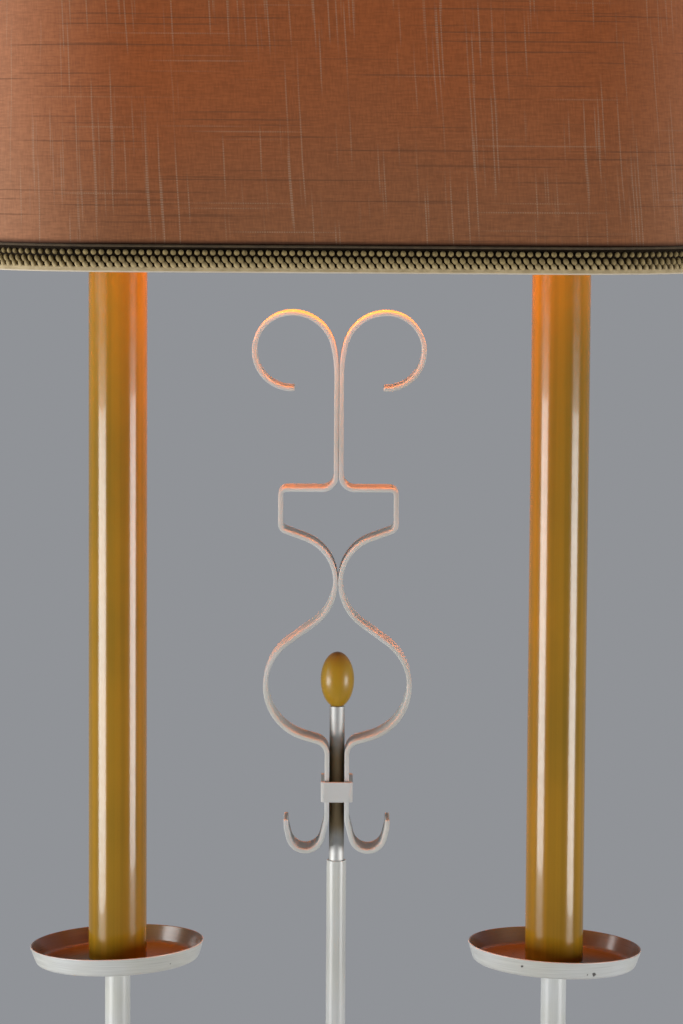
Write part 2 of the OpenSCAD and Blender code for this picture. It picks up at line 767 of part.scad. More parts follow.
module top_wire() color("silver")
    wire_loop(wire_r(shade_z + shade_h - wire_inset), shade_z + shade_h - wire_inset);

// a band along the shade's outline; its section is [distance from a rounded end's axis, height]
module band(section) {
    for (side = [-1, 1]) {
        translate([side * shade_flat, 0, 0]) rotate([0, 0, -side * 90])
            rotate_extrude(angle = 180) polygon(section);
        rotate([0, 0, side * 90]) rotate([90, 0, 0])
            linear_extrude(2 * shade_flat, center = true) polygon(section);
    }
}

// section of a plain wall from z0 up to the shade's top, between two insets
function wall_section(z0, in0, in1) = let(z1 = shade_z + shade_h) [
    [wall_r(z0) - in0, z0], [wall_r(z1) - in0, z1],
    [wall_r(z1) - in1, z1], [wall_r(z0) - in1, z0]];

module shade_fabric() color("peru") band(wall_section(shade_z, 0, fabric_t));

module shade_liner() color("linen") band(wall_section(shade_z - liner_drop,
    fabric_t + lining_gap, fabric_t + lining_gap + liner_t));

// a point of the braid's section, a distance out from the fabric
function braid_point(z, out) = [wall_r(z) + lining_gap + out, z];

// one round row of the braid's section, of height h, swelling from a low to a high thickness
function braid_row(z, h, low, high) = [for (a = [15:30:165])
    braid_point(z + h / 2 * (1 - cos(a)), low + (high - low) * sin(a))];

// the braid, from z up: a flat hem, the rows of knots and the cord along its upper edge
module braid(z) color("darkkhaki") band(concat(
    [braid_point(z, 0), braid_point(z, hem_t), braid_point(z + hem_h, hem_t)],
    [for (row = [0:knot_rows - 1]) each braid_row(z + hem_h + row * knot_h, knot_h, knot_low, braid_t)],
    braid_row(z + braid_h - edge_cord_h, edge_cord_h, knot_low / 2, edge_cord_t),
    [braid_point(z + braid_h, 0)]));

module bottom_braid() braid(shade_z);

module top_braid() braid(shade_z + shade_h - braid_h);

// ---- the parts ----

felt_pad();
base_cover();
base_weight();
base_spacer();
base_washer();
base_nut();
cord_bushing();
column_foot();
tie_pipe();
lower_column();
hub();
arm(-1);  // left_arm
arm(1);  // right_arm
arm_screws();
stem_bush(-1);  // left_stem_bush
stem_bush(1);  // right_stem_bush
pan(-1);  // left_pan
pan(1);  // right_pan
pan_washers();
pan_nuts();
riser(-1);  // left_riser
riser(1);  // right_riser
candle_tube(-1);  // left_candle_tube
candle_tube(1);  // right_candle_tube
tube_cap(-1);  // left_tube_cap
tube_cap(1);  // right_tube_cap
spire_tube();
spire_rod();
finial();
strap(-1);  // left_strap
strap(1);  // right_strap
strap_collar();
socket_cap(-1);  // left_socket_cap
socket_cap(1);  // right_socket_cap
riser_nuts();
socket_body(-1);  // left_socket_body
socket_body(1);  // right_socket_body
turn_key(-1);  // left_turn_key
turn_key(1);  // right_turn_key
bulb_base(-1);  // left_bulb_base
bulb_base(1);  // right_bulb_base
bulb_glass(-1);  // left_bulb_glass
bulb_glass(1);  // right_bulb_glass
shade_ring(-1);  // left_shade_ring
shade_ring(1);  // right_shade_ring
shade_fitter();
shade_ribs();
bottom_wire();
top_wire();
shade_liner();
shade_fabric();
bottom_braid();
top_braid();
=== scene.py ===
import math

import bmesh
import bpy
from mathutils import Matrix, Vector


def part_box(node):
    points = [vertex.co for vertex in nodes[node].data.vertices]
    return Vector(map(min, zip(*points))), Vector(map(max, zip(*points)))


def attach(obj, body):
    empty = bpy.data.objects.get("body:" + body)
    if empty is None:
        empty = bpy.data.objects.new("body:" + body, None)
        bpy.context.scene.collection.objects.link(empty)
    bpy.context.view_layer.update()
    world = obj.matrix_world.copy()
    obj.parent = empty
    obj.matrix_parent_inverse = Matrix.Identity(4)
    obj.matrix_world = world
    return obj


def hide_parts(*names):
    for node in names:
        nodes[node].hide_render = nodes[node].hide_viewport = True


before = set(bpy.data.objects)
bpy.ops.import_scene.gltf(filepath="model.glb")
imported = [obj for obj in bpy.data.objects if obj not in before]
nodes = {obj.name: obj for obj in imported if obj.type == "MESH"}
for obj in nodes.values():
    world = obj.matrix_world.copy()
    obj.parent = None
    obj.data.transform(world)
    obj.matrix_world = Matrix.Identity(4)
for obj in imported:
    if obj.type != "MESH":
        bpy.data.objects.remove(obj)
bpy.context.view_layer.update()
scene = bpy.context.scene
mm = 0.001

print("frame loaded:", len(nodes), "nodes")


def nodeBox(node):
    # a CAD piece's lowest and highest corners, in millimetres
    low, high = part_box(node)
    return low / mm, high / mm


# camera, from the photograph's perspective

shot = {
    "place": (0.002, -2.444, 1.275),  # metres
    "down": 5.46,  # degrees below level
    "roll": 0.35,  # degrees; the lamp's top leans right
    "lens": 133.1,  # mm
    "film": 36,  # mm, the frame's long side
}


def addCamera():
    data = bpy.data.cameras.new("photoCamera")
    data.lens = shot["lens"]
    data.sensor_width = shot["film"]
    camera = bpy.data.objects.new("photoCamera", data)
    tilt = Matrix.Rotation(math.radians(90 - shot["down"]), 4, "X")
    roll = Matrix.Rotation(math.radians(shot["roll"]), 4, "Z")
    camera.matrix_world = Matrix.Translation(shot["place"]) @ tilt @ roll
    scene.collection.objects.link(camera)
    scene.camera = camera


addCamera()

# node helpers


def put(tree, kind, inputs=None, **settings):
    node = tree.nodes.new("ShaderNode" + kind)
    for name, value in settings.items():
        setattr(node, name, value)
    for name, value in (inputs or {}).items():
        if isinstance(value, bpy.types.NodeSocket):
            tree.links.new(value, node.inputs[name])
        else:
            node.inputs[name].default_value = value
    return node


def calc(tree, operation, a, b=0.0, c=0.0):
    return put(tree, "Math", {0: a, 1: b, 2: c}, operation=operation).outputs[0]


def spread(tree, value, low, high, toLow=0.0, toHigh=1.0):
    # smooth step of a value between two limits
    node = put(tree, "MapRange", {"Value": value, "From Min": low, "From Max": high,
                                  "To Min": toLow, "To Max": toHigh}, interpolation_type="SMOOTHSTEP")
    return node.outputs[0]


def blendColor(tree, factor, first, second, mode="MIX"):
    # the mix node's sockets for colours are its seventh and eighth, and its third output
    return put(tree, "Mix", {0: factor, 6: first, 7: second}, data_type="RGBA", blend_type=mode).outputs[2]


def joinXyz(tree, x=0.0, y=0.0, z=0.0):
    return put(tree, "CombineXYZ", {"X": x, "Y": y, "Z": z}).outputs[0]


def darken(tree, color, share):
    return blendColor(tree, 1.0, color, joinXyz(tree, share, share, share), "MULTIPLY")


def startGroup(name, inputs, outputs):
    group = bpy.data.node_groups.new(name, "ShaderNodeTree")
    for label, kind, value in inputs:
        socket = group.interface.new_socket(name=label, in_out="INPUT", socket_type="NodeSocket" + kind)
        if value is not None:
            socket.default_value = value
    for label, kind in outputs:
        group.interface.new_socket(name=label, in_out="OUTPUT", socket_type="NodeSocket" + kind)
    return group, group.nodes.new("NodeGroupInput").outputs, group.nodes.new("NodeGroupOutput").inputs


def useGroup(tree, group, inputs):
    return put(tree, "Group", inputs, node_tree=group).outputs


# shared surface effects


def makeMottle():
    # slow, cloudy change over a surface
    group, given, result = startGroup("mottle", [("Vector", "Vector", None), ("Size", "Float", 0.05)],
                                      [("Value", "Float")])
    scale = calc(group, "DIVIDE", 1.0, given["Size"])
    noise = put(group, "TexNoise", {"Vector": given["Vector"], "Scale": scale, "Detail": 3.0})
    group.links.new(spread(group, noise.outputs["Fac"], 0.3, 0.7), result["Value"])
    return group


def makeBrushLines():
    # fine lines: Across holds the place at right angles to them, Along the place along them
    group, given, result = startGroup(
        "brushLines",
        [("Across", "Float", 0.0), ("Along", "Float", 0.0), ("Fineness", "Float", 1500.0),
         ("Length", "Float", 0.05)],
        [("Value", "Float")])
    x = calc(group, "MULTIPLY", given["Across"], given["Fineness"])
    y = calc(group, "DIVIDE", given["Along"], given["Length"])
    noise = put(group, "TexNoise", {"Vector": joinXyz(group, x, y), "Scale": 1.0, "Detail": 2.0},
                noise_dimensions="2D")
    group.links.new(noise.outputs["Fac"], result["Value"])
    return group


def makeTurnedPlace():
    # the place on a turned piece whose axis stands at Centre X: distance from the axis, and angle
    group, given, result = startGroup(
        "turnedPlace", [("Vector", "Vector", None), ("Centre X", "Float", 0.0)],
        [("Radius", "Float"), ("Angle", "Float"), ("Height", "Float")])
    split = put(group, "SeparateXYZ", {"Vector": given["Vector"]}).outputs
    x = calc(group, "SUBTRACT", split["X"], given["Centre X"])
    y = split["Y"]
    squares = calc(group, "ADD", calc(group, "MULTIPLY", x, x), calc(group, "MULTIPLY", y, y))
    group.links.new(calc(group, "SQRT", squares), result["Radius"])
    group.links.new(calc(group, "ARCTAN2", y, x), result["Angle"])
    group.links.new(split["Z"], result["Height"])
    return group


chipped = {
    "patches": 0.12,  # how many to a chip's size
    "rarity": 0.86,
    "gather": 0.14,  # how much of that the inside of a patch takes off
    "edge": 0.02,
}


def makeChips():
    # small irregular spots where the paint has come off, in a few patches only
    group, given, result = startGroup(
        "chips", [("Vector", "Vector", None), ("Size", "Float", 0.002), ("Amount", "Float", 0.1)],
        [("Mask", "Float")])
    spots = put(group, "TexNoise", {"Vector": given["Vector"], "Detail": 4.0, "Roughness": 0.6,
                                    "Scale": calc(group, "DIVIDE", 1.0, given["Size"])})
    patches = put(group, "TexNoise", {"Vector": given["Vector"], "Detail": 1.0,
                                      "Scale": calc(group, "DIVIDE", chipped["patches"], given["Size"])})
    edge = calc(group, "SUBTRACT", chipped["rarity"], given["Amount"])
    near = spread(group, patches.outputs["Fac"], 0.52, 0.68, 0.0, chipped["gather"])
    mask = calc(group, "SUBTRACT", calc(group, "ADD", spots.outputs["Fac"], near), edge)
    group.links.new(spread(group, mask, 0.0, chipped["edge"]), result["Mask"])
    return group


def makeSlubYarns():
    # parallel yarns of one cloth: each keeps its row, thickens here and there, and is round across
    group, given, result = startGroup(
        "slubYarns",
        [("Along", "Float", 0.0), ("Across", "Float", 0.0), ("Pitch", "Float", 0.001),
         ("Slub Length", "Float", 0.08), ("Rarity", "Float", 0.7), ("Seed", "Float", 0.0)],
        [("Slub", "Float"), ("Tone", "Float"), ("Ridge", "Float")])
    place = calc(group, "DIVIDE", given["Across"], given["Pitch"])
    row = calc(group, "FLOOR", place)
    rowSeed = calc(group, "ADD", calc(group, "MULTIPLY", row, 7.31), given["Seed"])
    longWay = calc(group, "DIVIDE", given["Along"], given["Slub Length"])
    slubs = put(group, "TexNoise", {"Vector": joinXyz(group, longWay, rowSeed), "Scale": 1.0,
                                    "Detail": 1.0}, noise_dimensions="2D")
    quickWay = calc(group, "MULTIPLY", longWay, 6.0)
    tones = put(group, "TexNoise", {"Vector": joinXyz(group, quickWay, rowSeed), "Scale": 1.0,
                                    "Detail": 2.0}, noise_dimensions="2D")
    softEdge = calc(group, "ADD", given["Rarity"], 0.1)
    group.links.new(spread(group, slubs.outputs["Fac"], given["Rarity"], softEdge), result["Slub"])
    group.links.new(tones.outputs["Fac"], result["Tone"])
    ridge = calc(group, "SINE", calc(group, "MULTIPLY", calc(group, "FRACT", place), math.pi))
    group.links.new(ridge, result["Ridge"])
    return group


mottle = makeMottle()
brushLines = makeBrushLines()
turnedPlace = makeTurnedPlace()
chips = makeChips()
slubYarns = makeSlubYarns()

# finishes


def startFinish(name, roughness=0.5, metallic=0.0, **others):
    finish = bpy.data.materials.new(name)
    finish.use_nodes = True
    tree = finish.node_tree
    shader = tree.nodes["Principled BSDF"]
    shader.inputs["Roughness"].default_value = roughness
    shader.inputs["Metallic"].default_value = metallic
    for label, value in others.items():
        shader.inputs[label.replace("_", " ")].default_value = value
    place = tree.nodes.new("ShaderNodeTexCoord").outputs
    return finish, tree, shader.inputs, place


def grain(tree, place, scale, detail, distortion=0.0):
    # noise on a piece, with this many spots to a metre
    noise = put(tree, "TexNoise", {"Vector": place["Object"], "Scale": scale, "Detail": detail,
                                   "Distortion": distortion})
    return noise.outputs["Fac"]


def clouds(tree, place, size):
    return useGroup(tree, mottle, {"Vector": place["Object"], "Size": size})["Value"]


def addBump(tree, shader, height, strength, distance):
    bump = put(tree, "Bump", {"Height": height, "Strength": strength, "Distance": distance})
    tree.links.new(bump.outputs["Normal"], shader["Normal"])


def addChip(tree, place, spot, size):
    # one ragged spot where the paint is gone
    ragged = put(tree, "TexNoise", {"Vector": place, "Scale": 1.2 / size, "Detail": 3.0}).outputs["Fac"]
    distance = put(tree, "VectorMath", {0: place, 1: spot}, operation="DISTANCE").outputs["Value"]
    stray = calc(tree, "MULTIPLY", calc(tree, "SUBTRACT", ragged, 0.5), size * 2)
    return spread(tree, calc(tree, "ADD", distance, stray), size * 0.3, size * 0.45, 1.0, 0.0)


brushed = {
    "marks": 1200.0,  # brush marks to a metre
    "round": 0.012,  # metres that a mark runs, on a piece brushed round, along or as a strap
    "along": 0.12,
    "strap": 0.06,
    "radius": 0.02,  # metres, makes an angle round a piece a length
    "aged": (0.94, 0.92, 0.85),  # share of the colour that age has left, in clouds
    "cloud": 0.05,  # metres
    "chip": 0.0016,  # metres
    "amount": {"round": 0.0, "along": 0.0, "strap": -0.2},  # the straps have kept their paint
    "bare": (0.07, 0.065, 0.06, 1),  # the iron under a chip
    "relief": 0.25,
    "markDepth": 0.00006,  # metres
}


def creamEnamel(name, color, centreX, way, spots=(), shine=0.5, rim=None):
    # brushed-on satin enamel; way is "round" or "along" a turned piece, or "strap"
    finish, tree, shader, place = startFinish(name, Coat_Weight=shine * 0.5, Coat_Roughness=0.2,
                                              Specular_IOR_Level=shine)
    turned = useGroup(tree, turnedPlace, {"Vector": place["Object"], "Centre X": centreX})
    angle = calc(tree, "MULTIPLY", turned["Angle"], brushed["radius"])
    height = turned["Height"]
    split = put(tree, "SeparateXYZ", {"Vector": place["Object"]}).outputs
    outward = calc(tree, "ADD", height, turned["Radius"])
    sideways = calc(tree, "ADD", height, split["X"])
    across, run = {"along": (angle, height), "round": (outward, angle),
                   "strap": (split["Y"], sideways)}[way]
    lines = useGroup(tree, brushLines, {"Across": across, "Along": run, "Fineness": brushed["marks"],
                                        "Length": brushed[way]})["Value"]
    cloud = clouds(tree, place, brushed["cloud"])
    aged = [channel * factor for channel, factor in zip(color, brushed["aged"])] + [1]
    base = blendColor(tree, cloud, [*color, 1], aged)
    if rim:  # glossier from here out
        tree.links.new(spread(tree, turned["Radius"], *rim, shine * 0.5, 1.0), shader["Coat Weight"])
    streak = spread(tree, lines, 0.25, 0.75, 0.9, 1.06)
    base = darken(tree, base, streak)
    wear = useGroup(tree, chips, {"Vector": place["Object"], "Size": brushed["chip"],
                                  "Amount": brushed["amount"][way]})["Mask"]
    for spot, size in spots:
        wear = calc(tree, "MAXIMUM", wear, addChip(tree, place["Object"], spot, size))
    base = blendColor(tree, wear, base, brushed["bare"])
    tree.links.new(base, shader["Base Color"])
    rough = spread(tree, lines, 0.2, 0.8, 0.27, 0.4)
    tree.links.new(calc(tree, "ADD", rough, calc(tree, "MULTIPLY", wear, 0.3)), shader["Roughness"])
    relief = calc(tree, "SUBTRACT", lines, calc(tree, "MULTIPLY", wear, 2.0))
    if way != "strap":
        addBump(tree, shader, relief, brushed["relief"], brushed["markDepth"])
    return finish


poured = {
    "coat": 0.22,
    "radius": 0.019,  # metres, makes an angle round a candle a length
    "runs": 220.0,  # to a metre round the candle
    "runLength": 0.5,  # metres
    "cloud": 0.09,
    "eggGlowRed": (0.3, 0.1, 0.01, 1),  # painted orange light from the shade on the egg's top
    "speck": (0.05, 0.025, 0.008, 1),
    "speckSize": 0.0011,
    "specks": 0.02,  # how many
    "peel": 260.0,  # orange peel, to a metre
    "relief": 0.12,
    "peelDepth": 0.00006,
}


def mustardEnamel(name, color, deep, centreX, streaks=0.5, gloss=0.03, top=None, spots=()):
    # glossy poured enamel: deeper and greener in clouds, with a few specks under the gloss
    finish, tree, shader, place = startFinish(name, Coat_Weight=poured["coat"], Coat_Roughness=gloss,
                                              Specular_IOR_Level=0.25)
    turned = useGroup(tree, turnedPlace, {"Vector": place["Object"], "Centre X": centreX})
    angle = calc(tree, "MULTIPLY", turned["Angle"], poured["radius"])
    runs = useGroup(tree, brushLines, {"Across": angle, "Along": turned["Height"],
                                       "Fineness": poured["runs"], "Length": poured["runLength"]})["Value"]
    cloud = clouds(tree, place, poured["cloud"])
    mix = calc(tree, "ADD", calc(tree, "MULTIPLY", cloud, 0.5), spread(tree, runs, 0.3, 0.7, 0.0, streaks))
    base = blendColor(tree, mix, [*color, 1], [*deep, 1])
    # painted orange light from the shade on the top
    if top:
        base = blendColor(tree, spread(tree, turned["Height"], *top), base, poured["eggGlowRed"])
    specks = useGroup(tree, chips, {"Vector": place["Object"], "Size": poured["speckSize"],
                                    "Amount": poured["specks"]})["Mask"]
    for spot, size in spots:
        specks = calc(tree, "MAXIMUM", specks, addChip(tree, place["Object"], spot, size))
    base = blendColor(tree, calc(tree, "MULTIPLY", specks, 0.8), base, poured["speck"])
    tree.links.new(base, shader["Base Color"])
    peel = grain(tree, place, poured["peel"], 1.0)
    tree.links.new(spread(tree, peel, 0.3, 0.7, 0.13 + gloss, 0.19 + gloss), shader["Roughness"])
    addBump(tree, shader, peel, poured["relief"], poured["peelDepth"])
    return finish


drawn = {
    "radius": 0.01,  # metres, makes an angle round a piece a length
    "lines": 2600.0,  # drawing marks to a metre
    "lineLength": 0.03,  # metres
    "cloud": 0.02,
    "tarnish": 0.72,  # share of the colour that it leaves
    # painted shade on the rod between the straps
    "strapShadow": (0.3, 0.21, 0.09, 1),
    "strapShadowShare": 0.85,
    "strapShadowEdge": (0.012, 0.02),  # metres over which the painted shade fades, below and above
    "relief": 0.3,
    "lineDepth": 0.00003,
}


def turnedMetal(name, color, roughness, along=True, shadowed=None):
    # shadowed: the heights between which the straps' painted shade darkens it
    finish, tree, shader, place = startFinish(name, metallic=1.0)
    turned = useGroup(tree, turnedPlace, {"Vector": place["Object"], "Centre X": 0.0})
    angle = calc(tree, "MULTIPLY", turned["Angle"], drawn["radius"])
    flat = calc(tree, "ADD", turned["Height"], turned["Radius"])
    across, alongWay = (angle, turned["Height"]) if along else (flat, angle)
    lines = useGroup(tree, brushLines, {"Across": across, "Along": alongWay, "Fineness": drawn["lines"],
                                        "Length": drawn["lineLength"]})["Value"]
    cloud = clouds(tree, place, drawn["cloud"])
    tarnish = [channel * drawn["tarnish"] for channel in color] + [1]
    base = blendColor(tree, calc(tree, "MULTIPLY", cloud, 0.7), [*color, 1], tarnish)
    # painted shade where the straps close round the rod
    if shadowed:
        low = spread(tree, turned["Height"], shadowed[0] - drawn["strapShadowEdge"][0], shadowed[0])
        high = spread(tree, turned["Height"], shadowed[1], shadowed[1] + drawn["strapShadowEdge"][1], 1.0, 0.0)
        strapShadow = calc(tree, "MULTIPLY", calc(tree, "MULTIPLY", low, high), drawn["strapShadowShare"])
        base = blendColor(tree, strapShadow, base, drawn["strapShadow"])
    tree.links.new(base, shader["Base Color"])
    tree.links.new(spread(tree, lines, 0.2, 0.8, roughness - 0.07, roughness + 0.07), shader["Roughness"])
    addBump(tree, shader, lines, drawn["relief"], drawn["lineDepth"])
    return finish


def castIron():
    finish, tree, shader, place = startFinish("castIron", roughness=0.75)
    grains = grain(tree, place, 420.0, 4.0)
    cloud = clouds(tree, place, 0.03)
    base = blendColor(tree, cloud, (0.075, 0.075, 0.075, 1), (0.13, 0.105, 0.09, 1))
    tree.links.new(base, shader["Base Color"])
    tree.links.new(spread(tree, grains, 0.3, 0.7, 0.6, 0.85), shader["Roughness"])
    addBump(tree, shader, grains, 0.7, 0.0005)
    return finish


def mouldedPlastic(name, color):
    finish, tree, shader, place = startFinish(name)
    fine = grain(tree, place, 900.0, 2.0)
    cloud = clouds(tree, place, 0.012)
    dusty = [channel * 1.7 + 0.006 for channel in color] + [1]
    tree.links.new(blendColor(tree, cloud, [*color, 1], dusty), shader["Base Color"])
    tree.links.new(spread(tree, fine, 0.3, 0.7, 0.34, 0.5), shader["Roughness"])
    addBump(tree, shader, fine, 0.2, 0.00006)
    return finish


def frostedGlass():
    finish, tree, shader, place = startFinish("frostedGlass", roughness=0.45, Transmission_Weight=0.35,
                                              IOR=1.45)
    frost = grain(tree, place, 700.0, 2.0)
    tint = blendColor(tree, spread(tree, frost, 0.3, 0.7), (0.97, 0.93, 0.86, 1), (0.99, 0.95, 0.88, 1))
    tree.links.new(tint, shader["Base Color"])
    glow = blendColor(tree, spread(tree, frost, 0.3, 0.7), (1.0, 0.66, 0.34, 1), (1.0, 0.7, 0.38, 1))
    tree.links.new(glow, shader["Emission Color"])
    shader["Emission Strength"].default_value = 1.1
    addBump(tree, shader, frost, 0.15, 0.00005)
    return finish


def pressedFelt():
    finish, tree, shader, place = startFinish("pressedFelt", roughness=0.95, Sheen_Weight=0.4)
    fibres = grain(tree, place, 1400.0, 5.0, 1.5)
    base = blendColor(tree, spread(tree, fibres, 0.3, 0.7), (0.035, 0.05, 0.035, 1), (0.09, 0.11, 0.085, 1))
    tree.links.new(base, shader["Base Color"])
    addBump(tree, shader, fibres, 0.8, 0.0004)
    return finish


gimp = {
    "height": 16.5,
    "flatKnots": 56,  # on each flat side
    "roundKnots": 66,  # round each end
    "rows": (3.8, 7.2, 11.6),  # heights of the three rows, from the hem up
    "knot": 1.75,  # half width of a knot
    "tall": (1.55, 1.4, 1.05),  # height of a row's knots against their width
    "slant": 28,  # degrees that a knot leans over
    "knotOut": 0.75,
    "hem": 2.8,
    "hemOut": 1.5,
    "backing": 0.6,  # thickness of the web behind the knots
    "webMargin": 1.0,  # how far the web stops short of the braid's edges
    "cord": 0.85,
    "cordOut": 1.0,
    "cordSides": 8,
    "thread": 0.0006,  # metres between two threads of its yarn
    "threadLean": 0.6,
    "threadDepth": 0.00012,
    "foot": (0.0025, 0.0078),  # metres up the braid, where the foot colour fades
}

cloth = {
    "yarn": 0.0009,  # metres between two yarns
    "slubYarn": 0.0008,
    "weftSlub": 0.2,  # metres, how long a thick stretch is
    "warpSlub": 0.11,
    "fineWeft": 0.06,  # metres, how long a fine yarn keeps its tone
    "fineWarp": 0.05,
    "lean": 0.06,  # how far the warp leans over
    # painted glow of the bulbs through the cloth, towards the top
    "glowOrange": (0.34, 0.088, 0.02, 1),
    "brown": (0.25, 0.1, 0.042, 1),
    # painted sheen from the side lights, round the ends, stronger on the left
    "sheenBeige": (0.42, 0.235, 0.145, 1),
    "glowRise": (1.2, 1.36),  # heights between which it grows warmer
    "leftSheen": (-0.25, -0.11, 0.45, 0.0),  # from x to x, how much beige at each
    "rightSheen": (0.15, 0.25, 0.0, 0.18),
    "greySlub": (0.4, 0.3, 0.21, 1),
    "crossing": 0.0015,  # between two dots of a pale slub
    "darkSlub": (0.11, 0.045, 0.022, 1),
    "foldAndShadow": (0.03, 0.009, 0.003, 1),  # painted shadow under the braid, on the cloth's dark edge drawn in under it
    "foldShadowWidth": 0.0035,
    "waver": 0.0012,  # how far a yarn strays from its line
    "relief": 0.5,
    "depth": 0.00018,
}


clothLow, clothHigh = nodeBox("shade_fabric")


def slubLinen():
    finish, tree, shader, place = startFinish("slubLinen", roughness=0.85, Sheen_Weight=0.15,
                                              Specular_IOR_Level=0.2)
    split = put(tree, "SeparateXYZ", {"Vector": place["UV"]}).outputs
    along, height = split["X"], split["Y"]
    waver = grain(tree, place, 14.0, 1.0)
    waver = calc(tree, "MULTIPLY", calc(tree, "SUBTRACT", waver, 0.5), cloth["waver"] * 2)
    leaning = calc(tree, "ADD", along, calc(tree, "MULTIPLY", height, cloth["lean"]))
    leaning = calc(tree, "ADD", leaning, waver)

    def layYarns(run, across, pitch, length, seed, rarity=0.7):
        return useGroup(tree, slubYarns, {"Along": run, "Across": across, "Pitch": cloth[pitch],
                                          "Slub Length": cloth[length], "Seed": seed, "Rarity": rarity})

    weft = layYarns(along, height, "slubYarn", "weftSlub", 3.7, 0.66)
    warp = layYarns(height, leaning, "slubYarn", "warpSlub", 41.3, 0.66)
    paleWeft = layYarns(along, height, "slubYarn", "weftSlub", 95.3, 0.72)
    fineWeft = layYarns(along, height, "yarn", "fineWeft", 12.9)
    fineWarp = layYarns(height, leaning, "yarn", "fineWarp", 77.1)
    cloud = clouds(tree, place, 0.16)
    # painted glow: more orange towards the top, as the bulbs light the cloth from inside; painted sheen:
    # paler round the ends, more on the left, where the side lights fall
    objectSplit = put(tree, "SeparateXYZ", {"Vector": place["Object"]}).outputs
    side = calc(tree, "ADD", spread(tree, objectSplit["X"], *cloth["leftSheen"]),
                spread(tree, objectSplit["X"], *cloth["rightSheen"]))
    rise = spread(tree, objectSplit["Z"], *cloth["glowRise"])
    glowAndTone = calc(tree, "ADD", calc(tree, "MULTIPLY", rise, 0.8), calc(tree, "MULTIPLY", cloud, 0.25))
    base = blendColor(tree, glowAndTone, cloth["brown"], cloth["glowOrange"])
    base = blendColor(tree, side, base, cloth["sheenBeige"])
    tone = calc(tree, "MULTIPLY", spread(tree, fineWeft["Tone"], 0.25, 0.75, 0.9, 1.09),
                spread(tree, fineWarp["Tone"], 0.25, 0.75, 0.92, 1.08))
    base = darken(tree, base, tone)
    base = blendColor(tree, calc(tree, "MULTIPLY", weft["Slub"], 0.5), base, cloth["darkSlub"])
    # pale slubs show as dots, where they cross over the others
    for run, yarns, least, most in ((height, warp, 0.16, 0.46), (along, paleWeft, 0.1, 0.38)):
        wave = calc(tree, "SINE", calc(tree, "MULTIPLY", run, 2 * math.pi / cloth["crossing"]))
        dotted = calc(tree, "MULTIPLY", yarns["Slub"], spread(tree, wave, -0.6, 0.8, least, most))
        base = blendColor(tree, dotted, base, cloth["greySlub"])
    # painted shadow just above the braid, on the cloth's drawn-in edge
    edge = clothLow.z * mm + gimp["height"] * mm + 0.0002
    foldShade = spread(tree, height, edge, edge + cloth["foldShadowWidth"], 0.85, 0.0)
    base = blendColor(tree, foldShade, base, cloth["foldAndShadow"])
    tree.links.new(base, shader["Base Color"])
    relief = calc(tree, "ADD", calc(tree, "MULTIPLY", fineWeft["Ridge"], fineWarp["Ridge"]),
                  calc(tree, "ADD", weft["Slub"], warp["Slub"]))
    addBump(tree, shader, relief, cloth["relief"], cloth["depth"])
    return finish


def linerPaper():
    finish, tree, shader, place = startFinish("linerPaper", roughness=0.7)
    fibres = grain(tree, place, 350.0, 4.0)
    cloud = clouds(tree, place, 0.08)
    base = blendColor(tree, cloud, (0.66, 0.6, 0.48, 1), (0.58, 0.5, 0.37, 1))
    tree.links.new(base, shader["Base Color"])
    addBump(tree, shader, fibres, 0.25, 0.0001)
    return finish


def gimpYarn(name, pale, dark, foot=None, shine=0.3):
    # twisted silky yarn: fine slanting threads, paler on the crowns and, with a foot colour, lower down
    finish, tree, shader, place = startFinish(name, roughness=0.66, Sheen_Weight=shine * 0.2,
                                              Specular_IOR_Level=shine)
    split = put(tree, "SeparateXYZ", {"Vector": place["UV"]}).outputs
    slant = calc(tree, "ADD", split["X"], calc(tree, "MULTIPLY", split["Y"], gimp["threadLean"]))
    thread = calc(tree, "SINE", calc(tree, "MULTIPLY", slant, 2 * math.pi / gimp["thread"]))
    cloud = clouds(tree, place, 0.006)
    mix = calc(tree, "ADD", calc(tree, "MULTIPLY", cloud, 0.6), spread(tree, thread, -1.0, 1.0, 0.0, 0.4))
    base = blendColor(tree, mix, [*dark, 1], [*pale, 1])
    if foot:
        base = blendColor(tree, spread(tree, split["Y"], *gimp["foot"], 0.8, 0.0), base, [*foot, 1])
    tree.links.new(base, shader["Base Color"])
    addBump(tree, shader, thread, 0.4, gimp["threadDepth"])
    return finish


cream = (0.51, 0.525, 0.515)
strapCream = (0.49, 0.5, 0.49)
# painted orange light from the lit shade, for the pans' insides
panGlowAmber = (0.16, 0.1, 0.015)
mustard = (0.33, 0.168, 0.01)
olive = (0.22, 0.125, 0.008)
candleX = sum(corner.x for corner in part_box("right_candle_tube")) / 2

# where the pans' paint is chipped: a place on the outer wall and the chip's width, in metres
panChips = {
    "left": [((-0.1062, -0.0409, 0.7515), 0.0024)],
    "right": [((0.1669, -0.0495, 0.7478), 0.0034), ((0.1736, -0.0458, 0.7455), 0.0022),
              ((0.1201, -0.0500, 0.7538), 0.0026), ((0.1622, -0.0512, 0.7482), 0.0015)],
}

# painted orange light from the shade: the egg turns redder between these heights; it also has one chip
eggYellow = (0.36, 0.205, 0.012)
eggOlive = (0.25, 0.14, 0.009)
eggGlowTop = (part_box("finial")[1].z - 0.011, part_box("finial")[1].z + 0.002)
eggChips = [((0.0062, -0.0063, eggGlowTop[1] - 0.0202), 0.0016)]

# heights of the stretch of the rod between the straps, which gets painted shade
rodShadowed = (0.838, 0.878)

# inside, the pans carry painted orange light from the lit shade above; their wall, beyond this radius, has
# kept its gloss
panRim = (0.049, 0.052)

